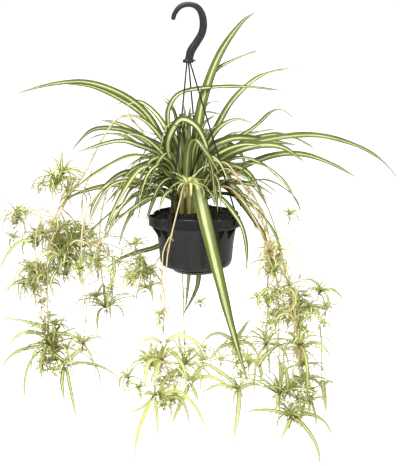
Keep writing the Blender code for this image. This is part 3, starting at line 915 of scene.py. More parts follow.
LEAVES = in_metres(
    Leaf("leaf_left_high", 175, 13, ((13, -304), (49, -218), (80, -172), (125, -142), (180, -126),
        (240, -131), (300, -147))),
    Leaf("leaf_back_left_high", 150, 13, ((13, -305), (52, -227), (94, -185), (140, -160), (200, -140),
        (268, -136))),
    Leaf("leaf_back_left_arch", 143, 15, ((15, -321), (52, -250), (100, -228), (150, -208), (205, -201))),
    Leaf("leaf_left_arch", 163, 14, ((15, -328), (55, -252), (95, -220), (135, -209), (180, -214),
        (219, -250))),
    Leaf("leaf_left_level", 184, 13, ((15, -322), (42, -257), (85, -234), (125, -226), (198, -246))),
    Leaf("leaf_left_long", 204, 16, ((15, -330), (42, -277), (75, -252), (115, -250), (165, -272),
        (215, -303), (240, -325))),
    Leaf("leaf_left_low", 178, 13, ((18, -339), (60, -313), (105, -304), (155, -308), (205, -325),
        (234, -352))),
    Leaf("leaf_front_left_broad", 226, 18, ((15, -332), (48, -282), (80, -264), (115, -266), (150, -297),
        (182, -339), (196, -374))),
    Leaf("leaf_front_left_low", 214, 13, ((18, -337), (65, -302), (115, -286), (155, -292), (182, -322),
        (196, -350))),
    Leaf("leaf_front_left_droop", 232, 13, ((18, -340), (65, -316), (108, -313), (150, -326), (190, -343),
        (218, -362))),
    Leaf("leaf_front_folded", 262, 18, ((15, -324), (40, -255), (62, -226), (95, -214), (128, -236),
        (142, -268)), 30),
    Leaf("leaf_front_long", 281, 27, ((14, -330), (36, -288), (66, -294), (97, -338), (122, -382),
        (145, -440), (167, -524), (187, -608)), 21, base=0.3),
    Leaf("leaf_front_right_droop", 304, 14, ((18, -338), (60, -312), (95, -313), (130, -331), (158, -354),
        (171, -390), (170, -430))),
    Leaf("leaf_front_right_low", 326, 13, ((18, -339), (60, -316), (100, -317), (140, -336), (172, -368),
        (190, -410))),
    Leaf("leaf_right_front_arch", 322, 14, ((15, -328), (50, -276), (90, -261), (150, -256), (195, -276),
        (231, -320))),
    Leaf("leaf_right_broad", 349, 19, ((15, -322), (40, -275), (70, -249), (115, -232), (161, -233),
        (201, -257))),
    Leaf("leaf_right_arch", 357, 14, ((15, -326), (50, -290), (90, -272), (150, -250), (200, -249),
        (250, -266), (294, -290))),
    Leaf("leaf_right_long", 8, 14, ((13, -304), (55, -255), (100, -236), (160, -223), (225, -220),
        (290, -236), (340, -262), (376, -298))),
    Leaf("leaf_back_right_broad", 18, 17, ((13, -304), (36, -247), (66, -229), (105, -225), (200, -240))),
    Leaf("leaf_back_right_arch", 33, 13, ((15, -322), (70, -262), (120, -236), (181, -226), (232, -236),
        (287, -261))),
    Leaf("leaf_back_right_tall", 49, 14, ((13, -305), (50, -240), (80, -205), (113, -170), (160, -140),
        (215, -121), (318, -110))),
    Leaf("leaf_tall", 26, 20, ((8, -300), (18, -210), (30, -150), (60, -79), (100, -28),
        (128, -9)), lean=0.9),
    Leaf("leaf_back_low_right", 60, 13, ((18, -337), (70, -304), (120, -285), (190, -292), (255, -335))),
    Leaf("leaf_back_arch", 80, 14, ((15, -324), (60, -255), (110, -226), (180, -228), (270, -290))),
    Leaf("leaf_back_hanging", 83, 13, ((18, -336), (60, -314), (90, -322), (112, -360), (118, -430),
        (116, -500), (120, -566)), 11),
    Leaf("leaf_back_left_long", 112, 14, ((15, -325), (60, -262), (115, -238), (185, -246), (280, -310))),
    Leaf("leaf_back_left_low", 128, 13, ((18, -338), (75, -305), (130, -290), (200, -312), (245, -350))),
)

RUNNERS = in_metres(
    Runner("runner_front", ((-2, -14, -330), (-2, -50, -296), (-7, -76, -292), (-14, -96, -318),
        (-24, -113, -356), (-33, -124, -398), (-37, -127, -450), (-41, -124, -520),
        (-45, -120, -578)), 0.75, 0.6),
    Runner("runner_front_right", ((14, -12, -334), (60, -60, -296), (92, -90, -318), (118, -105, -360),
        (135, -112, -410), (150, -112, -450), (172, -108, -500), (186, -104, -556)), 0.85, 0.15),
    Runner("runner_right", ((18, -6, -333), (70, -48, -285), (102, -58, -305), (128, -58, -345),
        (140, -62, -400), (152, -66, -470), (156, -66, -560), (158, -64, -660)), 0.85, 0.1),
    Runner("runner_right_far", ((18, 1, -334), (85, 12, -296), (130, 20, -330), (158, 26, -400),
        (176, 30, -480), (196, 34, -560), (206, 36, -640)), 0.8, 0.2),
    Runner("runner_back_right", ((14, 12, -336), (65, 80, -296), (112, 132, -330), (140, 160, -400),
        (150, 170, -500), (150, 170, -640))),
    Runner("runner_back", ((-4, 18, -336), (-20, 100, -300), (-22, 150, -340), (-18, 165, -420),
        (-12, 160, -540), (-10, 150, -675))),
    Runner("runner_back_left", ((-18, 13, -334), (-90, 70, -290), (-140, 120, -310), (-165, 145, -380),
        (-170, 150, -460), (-160, 150, -560))),
    Runner("runner_left_high", ((-20, 3, -330), (-55, 7, -262), (-80, 8, -210), (-115, 9, -185),
        (-150, 10, -225), (-178, 4, -280), (-207, -20, -322), (-232, -36, -375), (-243, -38, -440),
        (-245, -38, -540), (-240, -36, -580))),
    Runner("runner_left_low", ((-20, -8, -332), (-85, -42, -285), (-140, -85, -295), (-172, -95, -345),
        (-178, -96, -420), (-172, -92, -500), (-180, -88, -560))),
)

PLANTLETS = in_metres(
    Plantlet("plantlet_front", "runner_front", 1.0, 85, 9, pale=1),
    Plantlet("plantlet_front_upper", "runner_front", 0.8, 34, 7, (-1, 0, 0), pale=1),
    Plantlet("plantlet_front_right", "runner_front_right", 1.0, 90, 9),
    Plantlet("plantlet_front_right_node", "runner_front_right", 0.66, 40, 7, (0.4, -1, 0)),
    Plantlet("plantlet_right", "runner_right", 1.0, 120, 9),
    Plantlet("plantlet_right_node", "runner_right", 0.72, 50, 7, (-1, -0.3, 0)),
    Plantlet("plantlet_right_far", "runner_right_far", 1.0, 75, 9),
    Plantlet("plantlet_back_right", "runner_back_right", 1.0, 100, 9),
    Plantlet("plantlet_back", "runner_back", 1.0, 115, 9),
    Plantlet("plantlet_back_left", "runner_back_left", 1.0, 110, 9),
    Plantlet("plantlet_left_bottom", "runner_left_high", 1.0, 120, 9),
    Plantlet("plantlet_left_mid", "runner_left_high", 0.8, 60, 7, (-1, -0.3, 0)),
    Plantlet("plantlet_left_upper", "runner_left_high", 0.56, 55, 7, (-0.6, -0.8, 0)),
    Plantlet("plantlet_left_low", "runner_left_low", 1.0, 60, 9),
    Plantlet("plantlet_left_low_node", "runner_left_low", 0.7, 55, 7, (-0.5, -1, 0)),
)

MORE_LEAVES = {
    "leaves_right_more": in_metres(
        Leaf("right_high", 36, 12, ((15, -310), (70, -245), (124, -222), (152, -208), (184, -186),
            (210, -184), (239, -200))),
        Leaf("right_back", 55, 12, ((15, -315), (90, -250), (150, -235), (212, -231), (290, -230))),
        Leaf("right_front_low", -30, 12, ((18, -339), (45, -318), (73, -313), (105, -312), (130, -325),
            (149, -339))),
        Leaf("right_front_curl", -38, 13, ((15, -335), (60, -300), (125, -288), (153, -280), (183, -284),
            (209, -295), (226, -311), (231, -329))),
        Leaf("right_inner", 40, 12, ((20, -300), (70, -240), (100, -222), (135, -218))),
    ),
    "leaves_left_more": in_metres(
        Leaf("left_back_high", 152, 13, ((15, -325), (56, -259), (97, -242), (132, -225), (166, -223),
            (200, -232), (218, -245))),
        Leaf("left_between", 196, 12, ((15, -325), (50, -285), (105, -276), (140, -293), (165, -322),
            (178, -362))),
        Leaf("left_front_low", 208, 12, ((18, -338), (55, -310), (95, -314), (128, -330), (160, -349),
            (195, -378))),
    ),
    "leaves_middle_more": in_metres(
        Leaf("kinked", 20, 11, ((-10, -300), (-35, -200), (-30, -160), (0, -140), (90, -135),
            (185, -145)), lean=0.5),
        Leaf("small_arch", 60, 10, ((12, -300), (20, -220), (45, -180), (80, -165), (130, -170))),
        Leaf("white_arch", 215, 9, ((10, -300), (12, -220), (20, -195), (45, -200), (60, -245))),
    ),
    "leaves_back_more": in_metres(
        Leaf("back_a", 70, 13, ((15, -330), (60, -275), (120, -255), (190, -270), (240, -310))),
        Leaf("back_b", 95, 14, ((15, -322), (55, -245), (105, -205), (170, -195), (240, -220))),
        Leaf("back_c", 118, 13, ((15, -332), (60, -290), (115, -280), (170, -310), (205, -370))),
        Leaf("back_d", 102, 12, ((18, -338), (65, -310), (100, -325), (125, -380), (135, -450))),
        Leaf("back_e", 134, 13, ((13, -310), (45, -230), (85, -185), (140, -165), (210, -180))),
        Leaf("back_f", 45, 13, ((15, -332), (60, -295), (110, -285), (165, -310), (205, -360))),
    ),
}

FREE_LEAVES = in_metres(
    FreeLeaf(16, 0, -60, ((-18, -300), (-28, -268), (-35, -236), (-30, -212), (-12, -187), (12, -196),
        (27, -220), (32, -243), (26, -275)), base=0.15),
    FreeLeaf(7, 30, 30, ((40, -118), (56, -101), (87, -86), (117, -74))),
    FreeLeaf(10, 10, 40, ((0, -300), (-8, -240), (-2, -192), (17, -181), (36, -180), (62, -185))),
    FreeLeaf(12, -20, -95, ((20, -326), (50, -298), (74, -307), (92, -327), (111, -352), (128, -378),
        (140, -421))),
    FreeLeaf(11, -10, -70, ((-10, -310), (-30, -262), (-52, -250), (-70, -262), (-84, -290))),
    FreeLeaf(10, -15, -60, ((6, -312), (14, -268), (34, -252), (56, -262), (72, -292))),
    # Its pale of 1 is a painted light: it lightens a leaf that lies in shade behind the pot.
    FreeLeaf(14, 0, 0, ((-10, 14, -335), (-22, 48, -310), (-26, 82, -332), (-24, 90, -380),
        (-34, 86, -415), (-60, 78, -430), (-92, 68, -437), (-124, 52, -446), (-152, 38, -462)), pale=1),
    # Its pale of 1 is a painted light: it lightens a leaf that hangs in the pot's shadow.
    FreeLeaf(15, 0, 0, ((6, 14, -335), (12, 50, -312), (15, 86, -332), (17, 94, -390), (18, 92, -440),
        (18, 88, -484), (12, 86, -515), (-12, 80, -560)), pale=1),
    FreeLeaf(9, 10, 30, ((-14, -332), (-45, -314), (-80, -328), (-104, -362), (-118, -393), (-125, -420))),
    FreeLeaf(8, 0, 20, ((-14, -336), (-50, -322), (-84, -340), (-112, -356), (-142, -371))),
    FreeLeaf(9, -10, -30, ((-14, -334), (-55, -306), (-95, -320), (-125, -352), (-142, -392))),
    FreeLeaf(12, 0, -10, ((-6, -310), (-14, -260), (-10, -215), (6, -190))),
    FreeLeaf(12, 0, -30, ((6, -310), (6, -260), (14, -226), (34, -204))),
    FreeLeaf(13, 0, -50, ((10, -315), (36, -262), (62, -240), (96, -228), (130, -230))),
    FreeLeaf(13, 0, -40, ((-10, -315), (-34, -262), (-62, -228), (-90, -212), (-118, -212))),
    FreeLeaf(12, 10, -10, ((-10, -315), (-30, -250), (-60, -205), (-88, -184), (-116, -182))),
    FreeLeaf(12, 10, 10, ((8, -310), (26, -250), (52, -206), (82, -190), (110, -196))),
)

TUFTS = in_metres(
    Tuft("left_spiky", (-215, -30, -278), 30, 6, 0.5),
    Tuft("left_yellow", (-249, -50, -297), 32, 8, 0.7),
    Tuft("left_far", (-297, -20, -352), 50, 9, 0.3),
    Tuft("left_broad", (-270, 20, -396), 45, 8, 0.2),
    Tuft("left_second", (-221, -60, -374), 55, 10, 0.3),
    Tuft("left_third", (-202, -20, -396), 55, 10, 0.2),
    Tuft("left_fourth", (-220, -50, -422), 55, 10, 0.3),
    Tuft("left_back", (-196, 50, -451), 50, 9, 0.2),
    Tuft("left_inner", (-153, -70, -424), 48, 9, 0.3),
    Tuft("left_edge", (-294, 20, -487), 50, 8, 0.3),
    Tuft("left_yellow_low", (-217, -50, -615), 45, 7, 0.9),
    Tuft("left_low_back", (-174, 120, -535), 50, 9, 0.5),
    Tuft("left_near_pot", (-100, -50, -460), 35, 7, 1.0),
    Tuft("left_bottom", (-247, -60, -540), 50, 10, 0.4),
    Tuft("front_bulky", (-57, -100, -652), 50, 9, 0.6),
    Tuft("front_back", (-64, -50, -608), 50, 9, 0.5),
    Tuft("front_left", (-111, 20, -662), 50, 9, 0.6),
    Tuft("front_low", (-25, 0, -691), 45, 9, 0.9),
    Tuft("front_yellow", (1, 100, -693), 50, 8, 1.0),
    Tuft("middle_low", (88, -20, -667), 55, 8, 0.6),
    Tuft("middle_back", (84, 120, -621), 50, 8, 0.5),
    Tuft("right_low", (182, -70, -700), 60, 12, 0.4),
    Tuft("right_upper", (234, 30, -500), 45, 8, 0.5),
    Tuft("right_side", (247, 40, -538), 50, 9, 0.5),
    Tuft("right_curly", (149, -100, -474), 40, 9, 0.6),
    Tuft("right_brown", (120, -60, -490), 30, 7, 0.9),
    Tuft("right_loops", (138, -110, -524), 45, 9, 0.6),
    Tuft("right_middle", (197, -20, -592), 55, 11, 0.5),
    Tuft("right_bottom", (219, 0, -700), 60, 10, 0.4),
    Tuft("right_joint", (139, -110, -395), 25, 7, 0.8),
    Tuft("right_curl", (173, -50, -347), 34, 9, 0.8),
    Tuft("back_yellow", (20, 120, -546), 24, 6, 1.0),
    Tuft("crown_front", (0, -84, -290), 46, 13, 1.0),
)

CLUSTERS = in_metres(
    Cluster("left_cluster", (-218, 0, -420), (70, 70, 45), 34, 0.2),
    Cluster("left_edge_cluster", (-262, -10, -470), (30, 50, 50), 11, 0.3),
    Cluster("left_column", (-240, -30, -580), (30, 45, 68), 13, 0.4),
    Cluster("left_pot_cluster", (-78, 30, -455), (28, 35, 52), 11, 1.0),
    Cluster("left_high_cluster", (-222, -30, -295), (32, 30, 26), 5, 0.6),
    Cluster("left_far_cluster", (-298, 0, -370), (25, 30, 35), 4, 0.3),
    Cluster("front_cluster", (-52, -50, -635), (55, 60, 60), 9, 0.7),
    Cluster("middle_cluster", (98, 50, -645), (45, 60, 45), 5, 0.6),
    Cluster("right_cluster", (188, -20, -525), (64, 75, 60), 22, 0.5),
    Cluster("right_low_cluster", (198, -30, -665), (55, 60, 60), 12, 0.45),
    Cluster("right_joint_cluster", (135, -80, -415), (35, 30, 45), 6, 0.9),
    Cluster("back_cluster", (30, 150, -655), (110, 50, 35), 8, 0.9),
    Cluster("back_left_cluster", (-150, 140, -480), (60, 50, 70), 6, 0.4),
)

LONG_LEAFLETS = {
    "long_leaflets_left": leaflets(0.5,
        (6, -30, -25, ((-215, -282), (-216, -258), (-214, -237))),
        (5.5, -30, -45, ((-214, -280), (-206, -273), (-191, -272), (-173, -281))),
        (5.5, -30, -40, ((-216, -281), (-227, -287), (-233, -297), (-236, -311))),
        (5.5, -30, -10, ((-216, -280), (-224, -262), (-237, -250))),
        (5.5, -30, -20, ((-214, -280), (-205, -262), (-193, -253))),
        (6.5, -20, -35, ((-268, -396), (-294, -400), (-316, -424), (-327, -450))),
        (6.5, -10, -20, ((-132, -428), (-130, -457), (-140, -489), (-144, -533))),
        (7.5, 15, 0, ((-270, -416), (-272, -398), (-270, -379))),
        (6.5, 15, 10, ((-269, -416), (-263, -390), (-258, -367))),
        (7.5, 10, -10, ((-276, -474), (-300, -476), (-329, -492))),
        (6.5, -40, -20, ((-252, -553), (-269, -545), (-297, -539), (-332, -537))),
        (6.5, -40, -60, ((-252, -560), (-262, -557), (-277, -553), (-297, -559), (-314, -578))),
        (7.5, -40, -50, ((-252, -582), (-272, -584), (-293, -588), (-313, -600), (-329, -620))),
        (6.5, -40, -55, ((-249, -566), (-235, -558), (-212, -558), (-189, -567), (-168, -584))),
        (6.5, -40, -30, ((-251, -586), (-258, -604), (-261, -625), (-258, -651))),
        (6, -50, -70, ((-212, -615), (-189, -608), (-158, -611), (-134, -621), (-118, -634))),
        (8, -50, -40, ((-209, -606), (-193, -590), (-175, -588))),
        (6, -50, -45, ((-223, -618), (-245, -622), (-269, -630))),
        (7.5, -50, -65, ((-218, -617), (-221, -645), (-216, -675))),
        (6.5, -50, -60, ((-214, -617), (-205, -665), (-196, -711))),
        (6.5, -50, -60, ((-217, -606), (-236, -592), (-260, -592))),
        (6, -60, -80, ((-205, -400), (-190, -388), (-170, -392), (-158, -410))),
        (6, -60, -75, ((-215, -420), (-232, -408), (-252, -414), (-262, -436))),
        (6, -60, -70, ((-200, -430), (-186, -446), (-180, -470))),
        (6, -55, -70, ((-225, -440), (-235, -462), (-228, -490))),
        (5.5, -70, -85, ((-155, -428), (-138, -432), (-126, -450), (-126, -470))),
    ),
    "long_leaflets_front": leaflets(1,
        (6.5, -118, -130, ((-45, -553), (-62, -543), (-85, -552))),
        (7.5, -118, -140, ((-37, -551), (-18, -538), (2, -541), (20, -553), (30, -574))),
        (8, -118, -130, ((-36, -562), (-20, -574), (-8, -593), (-4, -612))),
        (7.5, -118, -125, ((-42, -560), (-50, -589), (-63, -620))),
        (6, -50, -60, ((-62, -610), (-78, -602), (-95, -607), (-105, -619))),
        (6, -50, -55, ((-60, -611), (-45, -604), (-27, -612))),
        (7.5, -100, -120, ((-57, -652), (-66, -664), (-78, -690), (-87, -718), (-93, -761))),
        (6, -100, -110, ((-57, -652), (-53, -690), (-54, -726))),
        (5.5, -100, -90, ((-57, -653), (-78, -674), (-105, -688))),
        (6.5, -100, -90, ((-50, -648), (-41, -628), (-27, -614), (-11, -612))),
        (6, -100, -110, ((-50, -650), (-28, -631), (-5, -632))),
        (7.5, -100, -125, ((-50, -653), (-21, -641), (-2, -651), (16, -671), (34, -712))),
        (7.5, -100, -105, ((-50, -657), (-18, -654), (-5, -671), (3, -703))),
        (9.5, 95, 80, ((-1, -700), (-12, -725), (-25, -752), (-33, -774))),
        (8, 95, 90, ((6, -687), (14, -674), (28, -662), (47, -656))),
        (7.5, 95, 85, ((4, -700), (10, -712), (18, -731))),
        (7.5, 95, 80, ((5, -694), (22, -682), (50, -684), (80, -705), (92, -718))),
        (6.5, 95, 90, ((-1, -690), (-14, -676), (-32, -676), (-44, -690))),
    ),
    "long_leaflets_right": leaflets(0.5,
        (9.5, -20, -35, ((90, -664), (89, -700), (85, -729), (79, -764))),
        (7.5, -20, -40, ((86, -664), (74, -649), (43, -624), (18, -616), (-8, -623))),
        (6.5, -20, -25, ((86, -667), (54, -659), (19, -675))),
        (6.5, -20, -10, ((92, -668), (112, -660), (129, -662))),
        (7.5, 120, 105, ((84, -621), (71, -611), (54, -604), (36, -609), (21, -625))),
        (7.5, 120, 110, ((84, -625), (62, -631), (49, -643), (35, -660))),
        (7.5, 120, 120, ((86, -619), (98, -603), (111, -583), (120, -580))),
        (6.5, 110, 100, ((88, -620), (103, -618), (118, -626), (133, -647))),
        (10.5, 100, 90, ((130, -663), (140, -645), (152, -632), (165, -613))),
        (8, 100, 90, ((131, -660), (135, -675), (134, -692))),
        (7.5, -64, -70, ((173, -655), (170, -622), (162, -604), (146, -602))),
        (7.5, -64, -80, ((173, -660), (165, -655), (152, -645), (127, -641))),
        (7.5, -70, -90, ((180, -700), (149, -688), (116, -684), (95, -688))),
        (6.5, -70, -85, ((180, -703), (172, -716), (160, -738))),
        (7.5, -70, -90, ((183, -702), (197, -711), (215, -734), (226, -758), (230, -788))),
        (7.5, -70, -60, ((184, -700), (212, -698), (238, -713), (255, -742))),
        (9.5, 20, 0, ((242, -664), (246, -695), (248, -720))),
        (6.5, 20, 30, ((242, -676), (254, -669), (265, -673))),
        (6.5, 20, 10, ((242, -676), (225, -661), (206, -656))),
        (6.5, 30, 15, ((235, -504), (230, -488), (216, -477), (197, -476))),
        (7.5, 30, 20, ((235, -502), (257, -497), (278, -513))),
        (7.5, -20, -30, ((197, -596), (200, -570), (209, -548))),
        (6.5, -20, -20, ((196, -596), (188, -572), (174, -560))),
        (7.5, -20, -35, ((199, -596), (218, -580), (238, -586), (250, -606))),
        (6, -100, -115, ((187, -530), (204, -508), (222, -510), (232, -530))),
        (6, -100, -115, ((185, -530), (170, -506), (152, -508), (142, -528))),
        (5.5, -100, -120, ((150, -470), (132, -462), (118, -476), (122, -496), (138, -500))),
        (5.5, -100, -120, ((152, -474), (170, -462), (180, -480), (170, -498), (152, -494))),
    ),
}

MORE_RUNNERS = {
    "stems_left_more": in_metres(
        Runner("cream_loop", ((-10, -5, -325), (-16, 2, -265), (-39, 4, -226), (-54, 5, -217),
            (-80, 5, -207), (-100, 4, -184), (-103, 0, -165), (-93, -4, -160)), 0.8, 0.1),
        Runner("cream_diagonal", ((-20, -20, -330), (-70, -55, -292), (-109, -85, -323), (-136, -92, -360),
            (-150, -94, -389), (-157, -94, -409), (-169, -92, -459)), 0.8, 1.0),
        Runner("tan_second", ((-161, -62, -268), (-177, -64, -311), (-178, -62, -350),
            (-172, -60, -392)), 0.7, 0.1),
        Runner("tan_upright", ((-192, -30, -285), (-205, -38, -312), (-229, -46, -355), (-237, -48, -380),
            (-242, -46, -449), (-241, -44, -470)), 0.8, 0.2),
        Runner("pale_upright", ((-250, -40, -352), (-258, -50, -372), (-261, -52, -400), (-260, -52, -446),
            (-254, -50, -480), (-250, -48, -520), (-250, -46, -556)), 0.7),
    ),
    "stems_right_more": in_metres(
        Runner("front_second", ((-30, -124, -370), (-40, -130, -393), (-42, -131, -423), (-45, -129, -478),
            (-48, -124, -529)), 0.6),
        Runner("tan_bundle_upper", ((12, -10, -334), (34, -50, -280), (58, -70, -254), (82, -82, -276),
            (106, -88, -318), (131, -94, -366), (139, -100, -396)), 0.8, 0.0),
        Runner("tan_bundle_middle", ((14, -8, -334), (40, -48, -284), (67, -66, -266), (98, -72, -304),
            (131, -74, -369), (159, -74, -428), (175, -74, -486)), 0.7, 0.3),
        Runner("cream_outer", ((138, -96, -372), (165, -88, -384), (184, -82, -412), (189, -80, -442),
            (184, -80, -485), (181, -80, -559), (180, -80, -630)), 0.6, 1.0),
        Runner("cream_inner", ((138, -108, -372), (128, -112, -395), (127, -112, -414),
            (130, -110, -441)), 0.8, 0.2),
        Runner("tan_low", ((160, -100, -417), (174, -102, -466), (180, -102, -526), (185, -98, -570),
            (176, -90, -632)), 0.7, 0.2),
        Runner("far_low", ((236, 22, -560), (240, 20, -600), (241, 20, -636), (242, 20, -674)), 0.9),
    ),
}


# The pot and what carries it.


def upright_box(node: str) -> tuple[Vector, float, float]:
    """Measures the solid of a turned piece.

    Args:
        node: The solid's node.

    Returns:
        The middle of its foot, its height and its radius.
    """
    low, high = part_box(node)
    middle = (low + high) / 2
    return Vector((middle.x, middle.y, low.z)), high.z - low.z, (high.x - low.x) / 2


def lathed(name: str, axis: Vector, outline: Sequence[tuple[float, float]], steps: int) -> bpy.types.Object:
    """Turns an outline about an upright axis, by drawing each ring out of the last one.

    Args:
        name: The piece's name.
        axis: A point on the axis.
        outline: The (radius, height) points. One at radius 0 closes the shape there.
        steps: How many sides a ring has.

    Returns:
        The piece, at the origin.
    """
    deselect()
    capped = outline[0][0] == 0
    rings = list(outline[1:] if capped else outline)
    bpy.ops.mesh.primitive_circle_add(vertices=steps, radius=rings[0][0],
                                      location=(axis.x, axis.y, rings[0][1]),
                                      fill_type="TRIFAN" if capped else "NOTHING")
    piece = named(name)
    if capped:
        settle(piece)
        places = places_of(piece)
        places[np.hypot(places[:, 0] - axis.x, places[:, 1] - axis.y) < 1e-6, 2] = outline[0][1]
        set_places(piece, places)
    with editing(piece):
        bpy.ops.mesh.select_all(action="SELECT")
        if capped:
            bpy.ops.mesh.region_to_loop()
        for (near, low), (far, high) in zip(rings, rings[1:]):
            bpy.ops.mesh.extrude_region_move(TRANSFORM_OT_translate={"value": (0, 0, high - low)})
            if far == 0:
                bpy.ops.mesh.merge(type="CENTER")
            else:
                ratio = far / near
                bpy.ops.transform.resize(value=(ratio, ratio, 1), center_override=(axis.x, axis.y, high))
        bpy.ops.mesh.select_all(action="SELECT")
        bpy.ops.mesh.normals_make_consistent(inside=False)
    settle(piece)
    return piece


@dataclass
class Pot:
    """The hanging pot: a thin wall with a banded rim, three flared ears and a drained floor."""

    radius: float = 0.0745
    band_height: float = 0.0185
    floor_radius: float = 0.056
    wall: float = 0.0018
    ears: tuple = (213, 317, 90)
    ear_flat: float = 13
    ear_edge: float = 13
    ear_reach: float = 0.013
    ear_wall: float = 0.0125
    ear_depth: float = 0.0235
    web_depth: float = 0.040
    bead: float = 0.0007
    drains: int = 5
    drain_radius: float = 0.004
    drain_circle: float = 0.040
    steps: int = 180
    edge: float = 0.0003
    foot: Vector = field(init=False)
    top: float = field(init=False)

    def __post_init__(self) -> None:
        """Reads the pot's place from its solid and its tray's axis."""
        low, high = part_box("pot")
        tray_low, tray_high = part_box("drip_tray")
        self.foot = Vector(((tray_low.x + tray_high.x) / 2, 0, low.z))
        self.top = high.z

    def reach_out(self, azimuth: np.ndarray | float, height: np.ndarray | float) -> np.ndarray:
        """Works out how far an ear brings the wall out.

        Args:
            azimuth: Azimuths about the pot's axis, in degrees.
            height: Heights on the wall.

        Returns:
            The wall's way out at each of them.
        """
        off = np.min([np.abs((azimuth - ear + 180) % 360 - 180) for ear in self.ears], axis=0)
        across = ramp_up((self.ear_flat + self.ear_edge - off) / self.ear_edge)
        below = (self.top - height - self.ear_wall) / (self.ear_depth - self.ear_wall)
        return self.ear_reach * across * np.sqrt(1 - np.clip(below, 0, 1) ** 2)

    def flared(self, piece: bpy.types.Object, share: float) -> None:
        """Brings a turned piece out into the ears.

        Args:
            piece: The pot or what lies in it, turned about the pot's axis.
            share: How much of the ears' reach it takes.
        """
        x, y, z = places_of(piece).T
        x = x - self.foot.x
        radius = np.hypot(x, y)
        out = np.where(radius > self.floor_radius, self.reach_out(np.degrees(np.arctan2(y, x)), z), 0)
        ratio = (radius + share * out) / np.maximum(radius, 1e-6)
        set_places(piece, np.stack([self.foot.x + x * ratio, y * ratio, z], 1))

    def outline(self) -> list[tuple[float, float]]:
        """Draws the pot's outside, from the rim to the middle of the floor.

        Returns:
            Its (radius, height) points.
        """
        rim, top, floor, bead = self.radius, self.top, self.foot.z, self.bead
        foot = top - self.band_height
        band = [(rim - bead, top), (rim - bead * 0.1, top - 0.0008), (rim, top - 0.0018),
                (rim - bead * 0.3, top - 0.0028), (rim - bead * 1.3, top - 0.0034),
                (rim - bead * 1.3, foot + 0.0034), (rim - bead * 0.3, foot + 0.0028),
                (rim, foot + 0.0018), (rim - bead * 0.2, foot + 0.0006), (rim - bead * 1.2, foot)]
        wall = [(rim - 0.0028, foot - 0.001), (rim - 0.0032, foot - 0.0022), (rim - 0.0035, foot - 0.0034),
                (rim - 0.0038, foot - 0.0043), (rim - 0.0040, foot - 0.0049), (rim - 0.0042, foot - 0.0060),
                (rim - 0.0055, foot - 0.015),
                (rim - 0.0070, foot - 0.024), (rim - 0.0084, foot - 0.034), (rim - 0.0096, foot - 0.046),
                (rim - 0.0106, foot - 0.058), (rim - 0.0112, floor + 0.011)]
        chamfer = [(self.floor_radius + 0.0062, floor + 0.0065), (self.floor_radius + 0.0046, floor + 0.0030),
                   (self.floor_radius + 0.0024, floor + 0.0008), (self.floor_radius, floor)]
        return [*band, *wall, *chamfer, (self.floor_radius * 0.6, floor), (0, floor)]

    def build(self) -> None:
        """Makes the pot and fixes it in place."""
        pot = lathed("hanging_pot", self.foot, self.outline(), self.steps)
        self.flared(pot, 1)
        finish_with(pot, "SOLIDIFY", thickness=self.wall, offset=-1, use_even_offset=True)
        self.drill(pot)
        finish_with(pot, "BEVEL", width=self.edge, segments=2, limit_method="ANGLE", angle_limit=radians(50))
        smooth(pot, 35)
        ready(joined("hanging_pot", [pot, *self.gussets()]), Finish.CHARCOAL, "pot")

    def drill(self, pot: bpy.types.Object) -> None:
        """Cuts the drain holes in the floor.

        Args:
            pot: The pot, with its wall.
        """
        drills = []
        for hole in range(self.drains):
            angle = 2 * pi * hole / self.drains
            place = (self.foot.x + self.drain_circle * cos(angle), self.drain_circle * sin(angle),
                     self.foot.z)
            deselect()
            bpy.ops.mesh.primitive_cylinder_add(vertices=20, radius=self.drain_radius, depth=6 * self.wall,
                                                location=place)
            drills.append(bpy.context.object)
        cutter = joined("drain_drills", drills)
        finish_with(pot, "BOOLEAN", operation="DIFFERENCE", object=cutter)
        bpy.data.objects.remove(cutter)

    def gussets(self) -> list[bpy.types.Object]:
        """Models the thin upright webs under each ear, from the ear's foot down to the wall.

        Returns:
            The webs, two to an ear.
        """
        webs = []
        inner = self.radius - 0.0075
        for azimuth in self.ears:
            for side in (-1, 1):
                angle = radians(azimuth + side * self.ear_flat * 0.7)
                deselect()
                bpy.ops.mesh.primitive_cube_add(size=1)
                web = bpy.context.object
                x, y, z = places_of(web).T
                height = np.where(z > 0, self.top - self.ear_wall - 0.004, self.top - self.web_depth)
                outer = np.where(z > 0, self.radius + self.ear_reach * 0.8, inner + 0.002)
                reach = np.where(x < 0, inner, outer)
                across = y * self.wall * 0.9
                set_places(web, np.stack([self.foot.x + reach * cos(angle) - across * sin(angle),
                                          reach * sin(angle) + across * cos(angle), height], 1))
                finish_with(web, "BEVEL", width=self.edge, segments=1)
                webs.append(web)
        return webs


@dataclass
class DripTray:
    """The shallow tray under the pot, on a short stud."""

    edge: float = 0.0003
    steps: int = 120

    def build(self) -> None:
        """Makes the tray and fixes it in place."""
        foot, height, radius = upright_box("drip_tray")
        top, low = foot.z + height, foot.z
        stud = [(0, top), (0.007, top), (0.008, top - 0.0008), (0.008, top - 0.0072), (0.0088, top - 0.008)]
        dish = [(0.034, top - 0.008), (0.0365, top - 0.0074), (radius - 0.0022, top - 0.0032)]
        lip = [(radius - 0.0014, top - 0.0028), (radius - 0.0003, top - 0.0030), (radius, top - 0.0042),
               (radius - 0.0008, top - 0.0056)]
        bottom = [(radius - 0.0055, low + 0.0007), (radius - 0.0075, low), (0, low)]
        tray = lathed("tray_under_pot", foot, [*stud, *dish, *lip, *bottom], self.steps)
        finish_with(tray, "BEVEL", width=self.edge, segments=2, limit_method="ANGLE", angle_limit=radians(50))
        smooth(tray, 35)
        ready(tray, Finish.CHARCOAL, "drip_tray")


